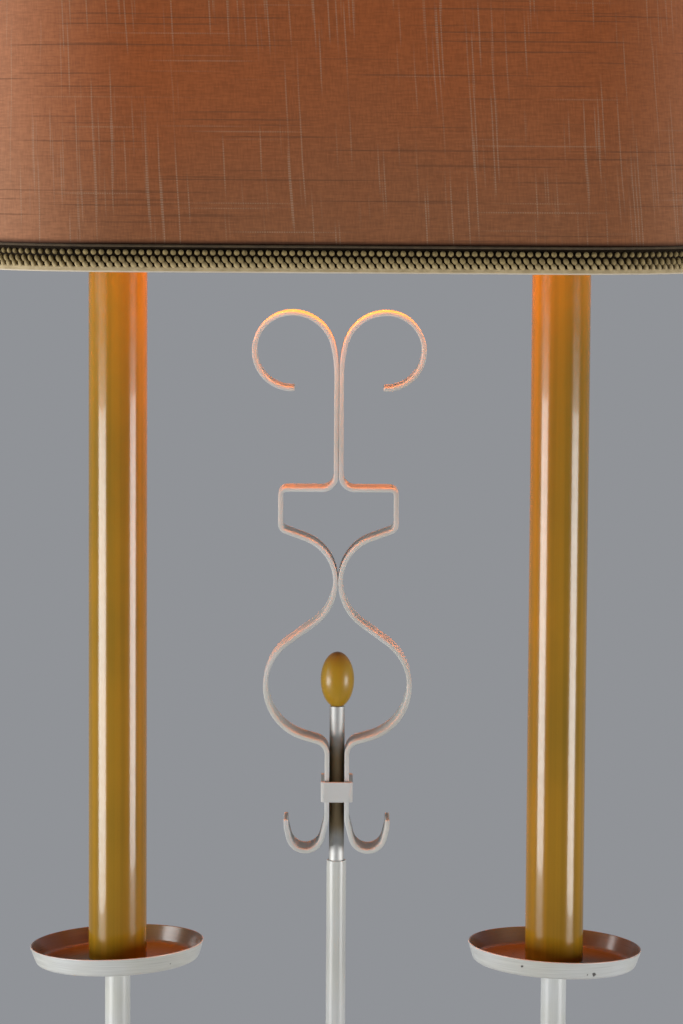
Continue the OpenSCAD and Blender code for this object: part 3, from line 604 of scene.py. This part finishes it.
finishes = {
    "creamTurned": creamEnamel("creamTurned", cream, 0.0, "round"),
    "creamColumn": creamEnamel("creamColumn", cream, 0.0, "along"),
    "creamStrap": creamEnamel("creamStrap", strapCream, 0.0, "strap", shine=0.05),
    "eggEnamel": mustardEnamel("eggEnamel", eggYellow, eggOlive, 0.0, 0.12, 0.2, eggGlowTop, eggChips),
    "rodMetal": turnedMetal("rodMetal", (0.56, 0.56, 0.54), 0.62, shadowed=rodShadowed),
    "zincSteel": turnedMetal("zincSteel", (0.58, 0.58, 0.56), 0.38, along=False),
    "wireSteel": turnedMetal("wireSteel", (0.62, 0.58, 0.48), 0.42),
    "brassCup": turnedMetal("brassCup", (0.76, 0.56, 0.26), 0.3, along=False),
    "bulbMetal": turnedMetal("bulbMetal", (0.76, 0.75, 0.73), 0.26, along=False),
    "phenolic": mouldedPlastic("phenolic", (0.022, 0.018, 0.015)),
    "bushingPlastic": mouldedPlastic("bushingPlastic", (0.03, 0.028, 0.026)),
    "castIron": castIron(),
    "frostedGlass": frostedGlass(),
    "pressedFelt": pressedFelt(),
    "slubLinen": slubLinen(),
    "linerPaper": linerPaper(),
    "gimpKnots": gimpYarn("gimpKnots", (0.34, 0.255, 0.105), (0.15, 0.105, 0.038), (0.48, 0.37, 0.19)),
    "gimpHem": gimpYarn("gimpHem", (0.52, 0.41, 0.235), (0.33, 0.25, 0.13)),
    "gimpCord": gimpYarn("gimpCord", (0.085, 0.055, 0.024), (0.04, 0.024, 0.01)),
    # near black: painted shade in the gaps between the knots
    "gimpWebShade": gimpYarn("gimpWebShade", (0.018, 0.01, 0.004), (0.008, 0.005, 0.002), shine=0.05),
}
for word, x in (("left", -candleX), ("right", candleX)):
    finishes[word + "Cream"] = creamEnamel(word + "Cream", cream, x, "round", panChips[word])
    # the pans' insides take a copy with painted orange light from the shade
    finishes[word + "PanGlowInside"] = creamEnamel(word + "PanGlowInside", panGlowAmber, x, "round", shine=0.15,
                                               rim=panRim)
    finishes[word + "StemCream"] = creamEnamel(word + "StemCream", cream, x, "along")
    finishes[word + "Mustard"] = mustardEnamel(word + "Mustard", mustard, olive, x)
print("finishes made:", len(finishes))

# mesh helpers; a piece is worked in millimetres


def finishPiece(bm, name, finish, body, replaced=(), crease=35):
    bmesh.ops.remove_doubles(bm, verts=bm.verts, dist=0.001)
    bmesh.ops.recalc_face_normals(bm, faces=bm.faces)
    bmesh.ops.scale(bm, vec=(mm, mm, mm), verts=bm.verts)
    mesh = bpy.data.meshes.new(name)
    bm.to_mesh(mesh)
    bm.free()
    mesh.shade_smooth()
    mesh.set_sharp_from_angle(angle=math.radians(crease))
    piece = bpy.data.objects.new(name, mesh)
    scene.collection.objects.link(piece)
    mesh.materials.append(finishes[finish])
    piece.modifiers.new("flatFaces", "WEIGHTED_NORMAL").keep_sharp = True
    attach(piece, body)
    if replaced:
        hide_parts(*replaced)
    return piece


def startPiece(points, closed=True, way=(1, 0)):
    # a bmesh with a profile of [distance from the axis, height] points, standing to one side of it
    bm = bmesh.new()
    verts = [bm.verts.new((x * way[0], x * way[1], z)) for x, z in points]
    ends = zip(verts, verts[1:] + verts[:1]) if closed else zip(verts, verts[1:])
    for pair in ends:
        bm.edges.new(pair)
    return bm


def turn(bm, segments):
    bmesh.ops.spin(bm, geom=bm.verts[:] + bm.edges[:], cent=(0, 0, 0), axis=(0, 0, 1),
                   angle=2 * math.pi, steps=segments, use_merge=True)
    bmesh.ops.remove_doubles(bm, verts=bm.verts, dist=0.001)
    bmesh.ops.recalc_face_normals(bm, faces=bm.faces)


def soften(bm, width, angle=40, segments=2):
    sharp = [e for e in bm.edges if e.is_manifold and e.calc_face_angle() > math.radians(angle)]
    bmesh.ops.bevel(bm, geom=sharp, offset=width, offset_type="OFFSET", segments=segments, profile=0.5,
                    affect="EDGES", material=-1, clamp_overlap=True)


def arc(x, z, radius, start, end, steps):
    return [(x + radius * math.cos(math.radians(start + (end - start) * i / steps)),
             z + radius * math.sin(math.radians(start + (end - start) * i / steps)))
            for i in range(steps + 1)]


def carry(bm, edges, steps, degrees=0, centre=(0, 0, 0), step=(0, 0, 0), axis=(0, 0, 1)):
    # sweeps a profile round a centre, or along a step, and gives back where it ends
    verts = {v for e in edges for v in e.verts}
    swept = bmesh.ops.spin(bm, geom=list(verts) + list(edges), cent=centre, axis=axis, dvec=step,
                           angle=math.radians(degrees), steps=steps)
    return [g for g in swept["geom_last"] if isinstance(g, bmesh.types.BMEdge)]


softened = {
    "merge": 0.002,
    "flat": 0.6,  # degrees up to which faces count as one
    "corner": 42,  # degrees from which an edge is rounded
}


def softenedCopy(node, finish, width, body="lamp", segments=2, crease=30):
    # a copy of a CAD piece with its edges broken as a made one's are
    bm = bmesh.new()
    bm.from_mesh(nodes[node].data)
    bmesh.ops.scale(bm, vec=(1 / mm,) * 3, verts=bm.verts)
    bmesh.ops.remove_doubles(bm, verts=bm.verts, dist=softened["merge"])
    bmesh.ops.dissolve_limit(bm, angle_limit=math.radians(softened["flat"]), verts=bm.verts, edges=bm.edges)
    soften(bm, width, softened["corner"], segments)
    finishPiece(bm, node + "_made", finish, body, [node], crease)


# candle tubes, drip pans and stems

pan = {
    "rim": 57,
    "flare": 4.5,
    "height": 12,
    "sheet": 1.2,
    "bend": 3,
    "hole": 5.9,
    "tilt": 2.4,  # degrees, outer side down
    "segments": 160,
}


def makePan(side, word):
    name = word + "_pan"
    half = pan["sheet"] / 2
    wall = Vector((pan["flare"] - half, pan["height"] - half))
    slope = math.degrees(math.atan2(wall.y, wall.x))
    bendX = pan["rim"] - pan["flare"] - pan["bend"] * math.tan(math.radians(slope / 2))
    bendZ = half + pan["bend"]
    tip = Vector((pan["rim"] - half, pan["height"])) - wall.normalized() * half
    points = [(pan["hole"], 0)]
    points += arc(bendX, bendZ, pan["bend"] + half, -90, slope - 90, 8)
    points += arc(tip.x, tip.y, half, slope - 90, slope + 90, 6)
    points += arc(bendX, bendZ, pan["bend"] - half, slope - 90, -90, 8)
    points += [(pan["hole"], pan["sheet"])]
    bm = startPiece(points)
    turn(bm, pan["segments"])
    tilt = math.radians(pan["tilt"])
    base = nodeBox(name)[1].z - pan["height"] * math.cos(tilt) - pan["rim"] * math.sin(tilt)
    place = Matrix.Translation((side * candleX / mm, 0, base)) @ Matrix.Rotation(side * tilt, 4, "Y")
    bmesh.ops.transform(bm, matrix=place, verts=bm.verts)
    piece = finishPiece(bm, name + "_spun", word + "Cream", "lamp", [name], 40)
    # painted orange light from the shade: the inside finish goes on the faces that look up, and on the
    # wall's that look in towards the candle
    piece.data.materials.append(finishes[word + "PanGlowInside"])
    centre = Vector((side * candleX, 0, 0))
    for face in piece.data.polygons:
        inward = (face.center - centre).xy.dot(face.normal.xy) < 0
        if face.normal.z > 0.1 and (inward or face.normal.z > 0.9):
            face.material_index = 1


candle = {"wall": 1.0, "edge": 0.35, "edgeSteps": 2, "segments": 128}


def startTube(node, tube):
    low, high = nodeBox(node)
    outer = (high.x - low.x) / 2
    inner = outer - tube["wall"]
    bm = startPiece([(inner, low.z), (outer, low.z), (outer, high.z), (inner, high.z)])
    turn(bm, tube["segments"])
    soften(bm, tube["edge"], segments=tube["edgeSteps"])
    return bm


def makeCandleTube(side, word):
    name = word + "_candle_tube"
    bm = startTube(name, candle)
    bmesh.ops.translate(bm, verts=bm.verts, vec=(side * candleX / mm, 0, 0))
    finishPiece(bm, name + "_drawn", word + "Mustard", "lamp", [name])


arm = {"bend": 60, "segments": 48, "bendSteps": 24, "edge": 0.5}


def makeArm(side, word):
    name = word + "_arm"
    low, high = nodeBox(name)
    far = high.x if side > 0 else -low.x
    start = low.x if side > 0 else -high.x
    radius = far - candleX / mm
    axisZ = low.z + radius
    bm = bmesh.new()
    bmesh.ops.create_circle(bm, segments=arm["segments"], radius=radius)
    bmesh.ops.rotate(bm, verts=bm.verts, cent=(0, 0, 0), matrix=Matrix.Rotation(math.pi / 2, 3, "Y"))
    bmesh.ops.translate(bm, verts=bm.verts, vec=(start, 0, axisZ))
    level = candleX / mm - arm["bend"] - start
    ring = carry(bm, bm.edges[:], 1, step=(level, 0, 0))
    ring = carry(bm, ring, arm["bendSteps"], -90, (start + level, 0, axisZ + arm["bend"]), axis=(0, 1, 0))
    carry(bm, ring, 1, step=(0, 0, high.z - axisZ - arm["bend"]))
    bmesh.ops.holes_fill(bm, edges=bm.edges)
    bmesh.ops.recalc_face_normals(bm, faces=bm.faces)
    soften(bm, arm["edge"], 60)
    if side < 0:
        bmesh.ops.scale(bm, vec=(-1, 1, 1), verts=bm.verts)
    finishPiece(bm, name + "_bent", word + "StemCream", "lamp", [name], 30)


for side, word in ((-1, "left"), (1, "right")):
    makePan(side, word)
    makeCandleTube(side, word)
    makeArm(side, word)
print("candles, pans and arms done")

# spire, rod and finial

spire = {"wall": 1.4, "edge": 0.45, "edgeSteps": 3, "segments": 96}

finishPiece(startTube("spire_tube", spire), "spireTube", "creamColumn", "lamp",
            ["spire_tube"])

rod = {"edge": 0.4, "segments": 96, "stud": 2.5, "studHeight": 10}


def makeRod():
    low, high = nodeBox("spire_rod")
    radius = (high.x - low.x) / 2
    top = high.z - rod["studHeight"]
    bm = startPiece([(0, low.z), (radius, low.z), (radius, top), (rod["stud"], top),
                     (rod["stud"], high.z), (0, high.z)], closed=False)
    turn(bm, rod["segments"])
    soften(bm, rod["edge"])
    finishPiece(bm, "spireRod", "rodMetal", "lamp", ["spire_rod"])


egg = {"cut": -71, "steps": 40, "segments": 96, "seat": 0.5}


def makeFinial():
    # an ellipse turned round its long axis, cut flat where it sits on the rod
    low, high = nodeBox("finial")
    wide = (high.x - low.x) / 2
    half = (high.z - low.z) / (1 - math.sin(math.radians(egg["cut"])))
    middle = high.z - half
    outline = [(wide * x, middle + half * z) for x, z in arc(0, 0, 1, egg["cut"], 90, egg["steps"])]
    outline[-1] = (0, high.z)
    bm = startPiece([(rod["stud"] + 0.1, low.z), (outline[0][0] - egg["seat"], low.z)] + outline,
                    closed=False)
    turn(bm, egg["segments"])
    finishPiece(bm, "eggFinial", "eggEnamel", "lamp", ["finial"], 50)


makeRod()
makeFinial()
print("spire done")

# strap ornament

strap = {"edge": 1.0, "segments": 3, "collarEdge": 0.5, "crease": 15}

for node, edge in (("left_strap", "edge"), ("right_strap", "edge"), ("strap_collar", "collarEdge")):
    softenedCopy(node, "creamStrap", strap[edge], "ornament", strap["segments"],
                 strap["crease"])
print("ornament done")

# base, column and hub

felt = {
    "edge": 1.1,
    "crown": 0.25,  # how far its faces swell and sink
    "ripple": (0.21, 0.17),  # radians to a millimetre, along x and y
    "rings": 10,
    "segments": 120,
}


def makeFelt():
    # a pressed disc, rounded at its cut edge and pressed flat under the iron weight
    low, high = nodeBox("felt_pad")
    radius = (high.x - low.x) / 2
    bm = bmesh.new()
    bmesh.ops.create_circle(bm, segments=felt["segments"], radius=radius)
    bmesh.ops.translate(bm, verts=bm.verts, vec=(0, 0, low.z))
    upper = bmesh.ops.extrude_edge_only(bm, edges=bm.edges[:])["geom"]
    bmesh.ops.translate(bm, verts=[v for v in upper if isinstance(v, bmesh.types.BMVert)],
                        vec=(0, 0, high.z - low.z))
    bmesh.ops.holes_fill(bm, edges=bm.edges)
    bmesh.ops.recalc_face_normals(bm, faces=bm.faces)
    soften(bm, felt["edge"], segments=4)
    for _ in range(felt["rings"]):
        caps = [f for f in bm.faces if len(f.verts) > 4]
        bmesh.ops.inset_region(bm, faces=caps, thickness=radius / (felt["rings"] + 1.5),
                               use_even_offset=True)
    for vert in bm.verts:
        if vert.co.xy.length < radius - felt["edge"] * 1.2:
            wave = math.sin(vert.co.x * felt["ripple"][0]) * math.cos(vert.co.y * felt["ripple"][1] + 1)
            inward = 1 if vert.co.z < (low.z + high.z) / 2 else -1
            vert.co.z += felt["crown"] * (0.5 + 0.5 * wave) * inward
    piece = finishPiece(bm, "feltPad", "pressedFelt", "lamp", ["felt_pad"], 60)


makeFelt()

for node, finish, width in (("base_cover", "creamTurned", 0.4), ("column_foot", "creamTurned", 0.3),
                            ("lower_column", "creamColumn", 0.3), ("hub", "creamTurned", 0.4)):
    softenedCopy(node, finish, width)
print("base and column done")

# shade

shade = {
    "flat": 137,  # half length of the flat front
    "radius": 105,  # of the round ends, at the bottom edge
    "taper": 14,
    "cloth": 1.0,
    "liner": 0.8,
    "gap": 0.1,
    "drop": 0.8,  # the liner shows this far below the cloth
    "flatSteps": 24,
    "roundSteps": 48,
    "rows": 12,
}


def wallRadius(z):
    return shade["radius"] - shade["taper"] * (z - clothLow.z) / (clothHigh.z - clothLow.z)


def sweepRound(points):
    # carries a profile of [distance from a rounded end's axis, height] round, from the front's middle
    bm = startPiece(points, way=(0, -1))
    flat = shade["flat"]
    edges = bm.edges[:]
    edges = carry(bm, edges, shade["flatSteps"] // 2, step=(flat / (shade["flatSteps"] // 2), 0, 0))
    edges = carry(bm, edges, shade["roundSteps"], 180, (flat, 0, 0))
    edges = carry(bm, edges, shade["flatSteps"], step=(-2 * flat / shade["flatSteps"], 0, 0))
    edges = carry(bm, edges, shade["roundSteps"], 180, (-flat, 0, 0))
    carry(bm, edges, shade["flatSteps"] // 2, step=(flat / (shade["flatSteps"] // 2), 0, 0))
    bmesh.ops.remove_doubles(bm, verts=bm.verts, dist=0.01)
    return bm


def lengthAlong(x, y):
    # length along the outline, from the front's middle; the rounded ends count at the bottom radius
    flat, radius = shade["flat"] * mm, shade["radius"] * mm
    if abs(x) <= flat:
        return x if y < 0 else math.copysign(2 * flat + math.pi * radius, x or 1) - x
    turned = math.atan2(y, abs(x) - flat) + math.pi / 2
    return math.copysign(flat + turned * radius, x)


def layUv(piece, foot=0):
    # u runs along the outline and v up it from the foot, in metres; the seam is at the back's middle
    mesh = piece.data
    layer = mesh.uv_layers.new(name="outline")
    half = 2 * shade["flat"] * mm + math.pi * shade["radius"] * mm
    for face in mesh.polygons:
        lengths = [lengthAlong(mesh.vertices[v].co.x, mesh.vertices[v].co.y) for v in face.vertices]
        middle = face.center.x
        for loop, vert, length in zip(face.loop_indices, face.vertices, lengths):
            if abs(length) > half - 0.02 and length * middle < 0:
                length = -length
            layer.data[loop].uv = (length, mesh.vertices[vert].co.z - foot * mm)


def wallProfile(low, high, inset, thickness):
    # up the outside and down the inside
    heights = [low + (high - low) * i / shade["rows"] for i in range(shade["rows"] + 1)]
    outside = [(wallRadius(z) - inset, z) for z in heights]
    inside = [(wallRadius(z) - inset - thickness, z) for z in heights]
    return outside + inside[::-1]


def makeShade(braids):
    bottom, top = clothLow.z, clothHigh.z
    bm = sweepRound(wallProfile(bottom, top, 0, shade["cloth"]))
    piece = finishPiece(bm, "shadeCloth", "slubLinen", "lamp", ["shade_fabric"])
    layUv(piece)

    bm = sweepRound(wallProfile(bottom - shade["drop"], top, shade["cloth"] + shade["gap"],
                                shade["liner"]))
    finishPiece(bm, "shadeLiner", "linerPaper", "lamp", ["shade_liner"])


def layKnots(bm, spot, out, tall, count, step=(0, 0, 0), degrees=0, centre=(0, 0, 0)):
    # one knot, then its copies along a step or round a centre, added to bm as a strand
    strand = bmesh.new()
    place = (Matrix.Translation(spot + out * gimp["knotOut"])
             @ Matrix.Rotation(math.atan2(out.y, out.x), 4, "Z")
             @ Matrix.Rotation(math.radians(gimp["slant"]), 4, "X")
             @ Matrix.Diagonal((gimp["knot"] * 1.05, gimp["knot"], tall, 1)))
    bmesh.ops.create_icosphere(strand, subdivisions=2, radius=1, matrix=place)
    bmesh.ops.spin(strand, geom=strand.verts[:] + strand.edges[:] + strand.faces[:], cent=centre,
                   axis=(0, 0, 1), dvec=step, angle=math.radians(degrees) * (count - 1) / count,
                   steps=count - 1, use_duplicate=True)
    mesh = bpy.data.meshes.new("strand")
    strand.to_mesh(mesh)
    strand.free()
    bm.from_mesh(mesh)
    bpy.data.meshes.remove(mesh)


def layRow(bm, z, shift, tall):
    flat, radius = shade["flat"], wallRadius(z)
    pitch = 2 * flat / gimp["flatKnots"]
    turned = math.radians(180 / gimp["roundKnots"]) * shift
    for side in (-1, 1):
        out = Vector((0, side, 0))
        spot = Vector((side * (flat - shift * pitch), side * radius, z))
        layKnots(bm, spot, out, tall, gimp["flatKnots"], step=(-side * pitch, 0, 0))
        out = Vector((-side * math.sin(turned), side * math.cos(turned), 0))
        centre = Vector((-side * flat, 0, 0))
        layKnots(bm, centre + out * radius + Vector((0, 0, z)), out, tall, gimp["roundKnots"],
                 degrees=180, centre=centre)


def makeBraid(low, word):
    gap = shade["gap"]
    top = low + gimp["height"]

    def at(z, out):
        return (wallRadius(z) + gap + out, z)

    def layBand(outline, part, finish):
        band = finishPiece(sweepRound(outline), word + "Braid" + part, finish, "lamp")
        layUv(band, low)
        return band

    # web behind the knots; its near-black colour is painted shade for the gaps between them
    foot, head, thick = low + gimp["webMargin"], top - gimp["webMargin"], gimp["backing"]
    web = layBand([at(foot, 0), at(foot, thick), at(head, thick), at(head, 0)], "Web", "gimpWebShade")

    # smooth hem, rounded over its lower edge, and the thin cord along the upper edge
    edge, out = low + gimp["hem"], gimp["hemOut"]
    hem = layBand([at(low, 0.1), at(low + 0.05, out - 0.4), at(low + 0.4, out),
                   at(edge - 0.6, out + 0.2), at(edge, out - 0.3), at(edge, 0.1)], "Hem", "gimpHem")
    cordZ = top - gimp["cord"]
    cord = layBand([(wallRadius(cordZ) + gap + gimp["cordOut"] + x, z)
                    for x, z in arc(0, cordZ, gimp["cord"], 0, 360, gimp["cordSides"])[:-1]],
                   "Cord", "gimpCord")

    # three staggered rows of knots; each leans down to the next, and the lowest runs into the hem
    bm = bmesh.new()
    for row, (rise, tall) in enumerate(zip(gimp["rows"], gimp["tall"])):
        layRow(bm, low + rise, 0.5 * (row % 2), gimp["knot"] * tall)
    knots = finishPiece(bm, word + "BraidKnots", "gimpKnots", "lamp", [word + "_braid"], 80)
    layUv(knots, low)
    return [web, hem, cord, knots]


makeShade(makeBraid(nodeBox("bottom_braid")[0].z, "bottom")
          + makeBraid(nodeBox("top_braid")[1].z - gimp["height"], "top"))
print("shade done")

# fittings that keep the CAD piece

kept = {
    "castIron": ["base_weight"],
    "zincSteel": ["base_spacer", "base_washer", "base_nut", "tie_pipe", "arm_screws", "pan_washers",
                  "pan_nuts", "left_riser", "right_riser", "riser_nuts"],
    "bushingPlastic": ["cord_bushing"],
    "brassCup": ["left_stem_bush", "right_stem_bush", "left_socket_cap", "right_socket_cap"],
    "leftMustard": ["left_tube_cap"],
    "rightMustard": ["right_tube_cap"],
    "phenolic": ["left_socket_body", "right_socket_body", "left_turn_key", "right_turn_key",
                 "left_shade_ring", "right_shade_ring"],
    "bulbMetal": ["left_bulb_base", "right_bulb_base"],
    "frostedGlass": ["left_bulb_glass", "right_bulb_glass"],
    "wireSteel": ["shade_fitter", "shade_ribs", "bottom_wire", "top_wire"],
}
for finish, names in kept.items():
    for name in names:
        for slot in nodes[name].material_slots:
            slot.material = finishes[finish]
print("fittings finished:", sum(len(names) for names in kept.values()))

# floor, background and light

studio = {
    "floorRadius": 14,  # metres
    "floor": (0.5, 0.51, 0.53, 1),
    "backdrop": (0.28, 0.29, 0.31, 1),
    "fade": (0.5, 1.7),  # the floor turns into background between these distances
    "near": 0.5,  # how far it already has, right under the lamp
    "grain": 0.96,  # the floor's darker share
    "ambient": 0.045,
    "boxes": [  # place, width, height, watts, whether polished surfaces mirror it
        ((-1.78, -0.91, 0.69), 1.1, 0.58, 36, True),
        ((-1.9, -0.2, 1.36), 0.9, 0.34, 9, True),
        ((1.78, -0.91, 0.69), 0.95, 0.58, 28, True),
        ((0, 2.4, 0.55), 1.3, 0.8, 34, False),
    ],
    "glow": 0.4,  # watts of each bulb
    "bulbSize": 0.028,  # metres, of its light
    "bulbDrop": 0.03,  # how far that light is below the glass's top
    "glowColor": (1.0, 0.33, 0.07),
    "liner": 2.7,  # watts that the lit liner sends down through the shade's mouth
    "linerColor": (1.0, 0.215, 0.015),
    "mouth": (0.45, 0.17),  # metres
    "mouthRise": 0.24,  # how far that light is above the shade's lower edge
    "mouthSpread": 110,  # degrees
}


def makeFloor():
    finish, tree, shader, place = startFinish("paleFloor", roughness=0.75)
    fine = grain(tree, place, 60.0, 3.0)
    pale = studio["floor"]
    darker = [channel * studio["grain"] for channel in pale[:3]] + [1]
    tree.links.new(blendColor(tree, fine, pale, darker), shader["Base Color"])
    # far out the camera sees the backdrop's own colour, so that no horizon shows
    distance = put(tree, "VectorMath", {0: place["Object"]}, operation="LENGTH").outputs["Value"]
    away = spread(tree, distance, *studio["fade"])
    seen = put(tree, "LightPath").outputs
    far = calc(tree, "MULTIPLY", spread(tree, away, 0.0, 1.0, studio["near"], 1.0),
               calc(tree, "MAXIMUM", seen["Is Camera Ray"], seen["Is Glossy Ray"]))
    shown = blendColor(tree, away, pale, studio["backdrop"])
    background = put(tree, "Emission", {"Color": shown, "Strength": 1.0}).outputs[0]
    surface = tree.nodes["Principled BSDF"].outputs[0]
    mixed = put(tree, "MixShader", {0: far, 1: surface, 2: background}).outputs[0]
    tree.links.new(mixed, tree.nodes["Material Output"].inputs["Surface"])
    bm = bmesh.new()
    bmesh.ops.create_circle(bm, cap_ends=True, segments=96, radius=studio["floorRadius"])
    mesh = bpy.data.meshes.new("paleFloor")
    bm.to_mesh(mesh)
    bm.free()
    floor = bpy.data.objects.new("paleFloor", mesh)
    scene.collection.objects.link(floor)
    mesh.materials.append(finish)


def makeWorld():
    world = bpy.data.worlds.new("studio")
    scene.world = world
    world.use_nodes = True
    tree = world.node_tree
    path = put(tree, "LightPath").outputs
    seen = calc(tree, "MAXIMUM", path["Is Camera Ray"],
                calc(tree, "MAXIMUM", path["Is Glossy Ray"], path["Is Transmission Ray"]))
    ambient = studio["ambient"]
    color = blendColor(tree, seen, (ambient, ambient, ambient * 1.03, 1), studio["backdrop"])
    tree.links.new(color, tree.nodes["Background"].inputs["Color"])


def addLight(name, kind, place, watts, **settings):
    data = bpy.data.lights.new(name, kind)
    data.energy = watts
    for label, value in settings.items():
        setattr(data, label, value)
    light = bpy.data.objects.new(name, data)
    light.location = place
    scene.collection.objects.link(light)
    return light


def addBox(place, width, height, watts, mirrored):
    box = addLight("softBox", "AREA", place, watts, shape="RECTANGLE", size=width, size_y=height)
    level = Vector((-place[0], -place[1], 0))
    box.matrix_world = Matrix.Translation(place) @ level.to_track_quat("-Z", "Y").to_matrix().to_4x4()
    box.visible_camera = False
    box.visible_glossy = mirrored


def addGlow():
    # the lit bulbs inside the shade
    for side, glass in ((-1, "left_bulb_glass"), (1, "right_bulb_glass")):
        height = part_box(glass)[1].z - studio["bulbDrop"]
        addLight("bulbGlow", "POINT", (side * candleX, 0, height), studio["glow"],
                 color=studio["glowColor"], shadow_soft_size=studio["bulbSize"])
        nodes[glass].visible_shadow = False
    wide, deep = studio["mouth"]
    mouth = addLight("linerGlow", "AREA", (0, 0, clothLow.z * mm + studio["mouthRise"]),
                     studio["liner"], color=studio["linerColor"], shape="ELLIPSE", size=wide,
                     size_y=deep, spread=math.radians(studio["mouthSpread"]))
    mouth.visible_camera = False
    mouth.visible_glossy = False


makeFloor()
makeWorld()
for box in studio["boxes"]:
    addBox(*box)
addGlow()

scene.view_settings.view_transform = "Standard"
print("studio done")
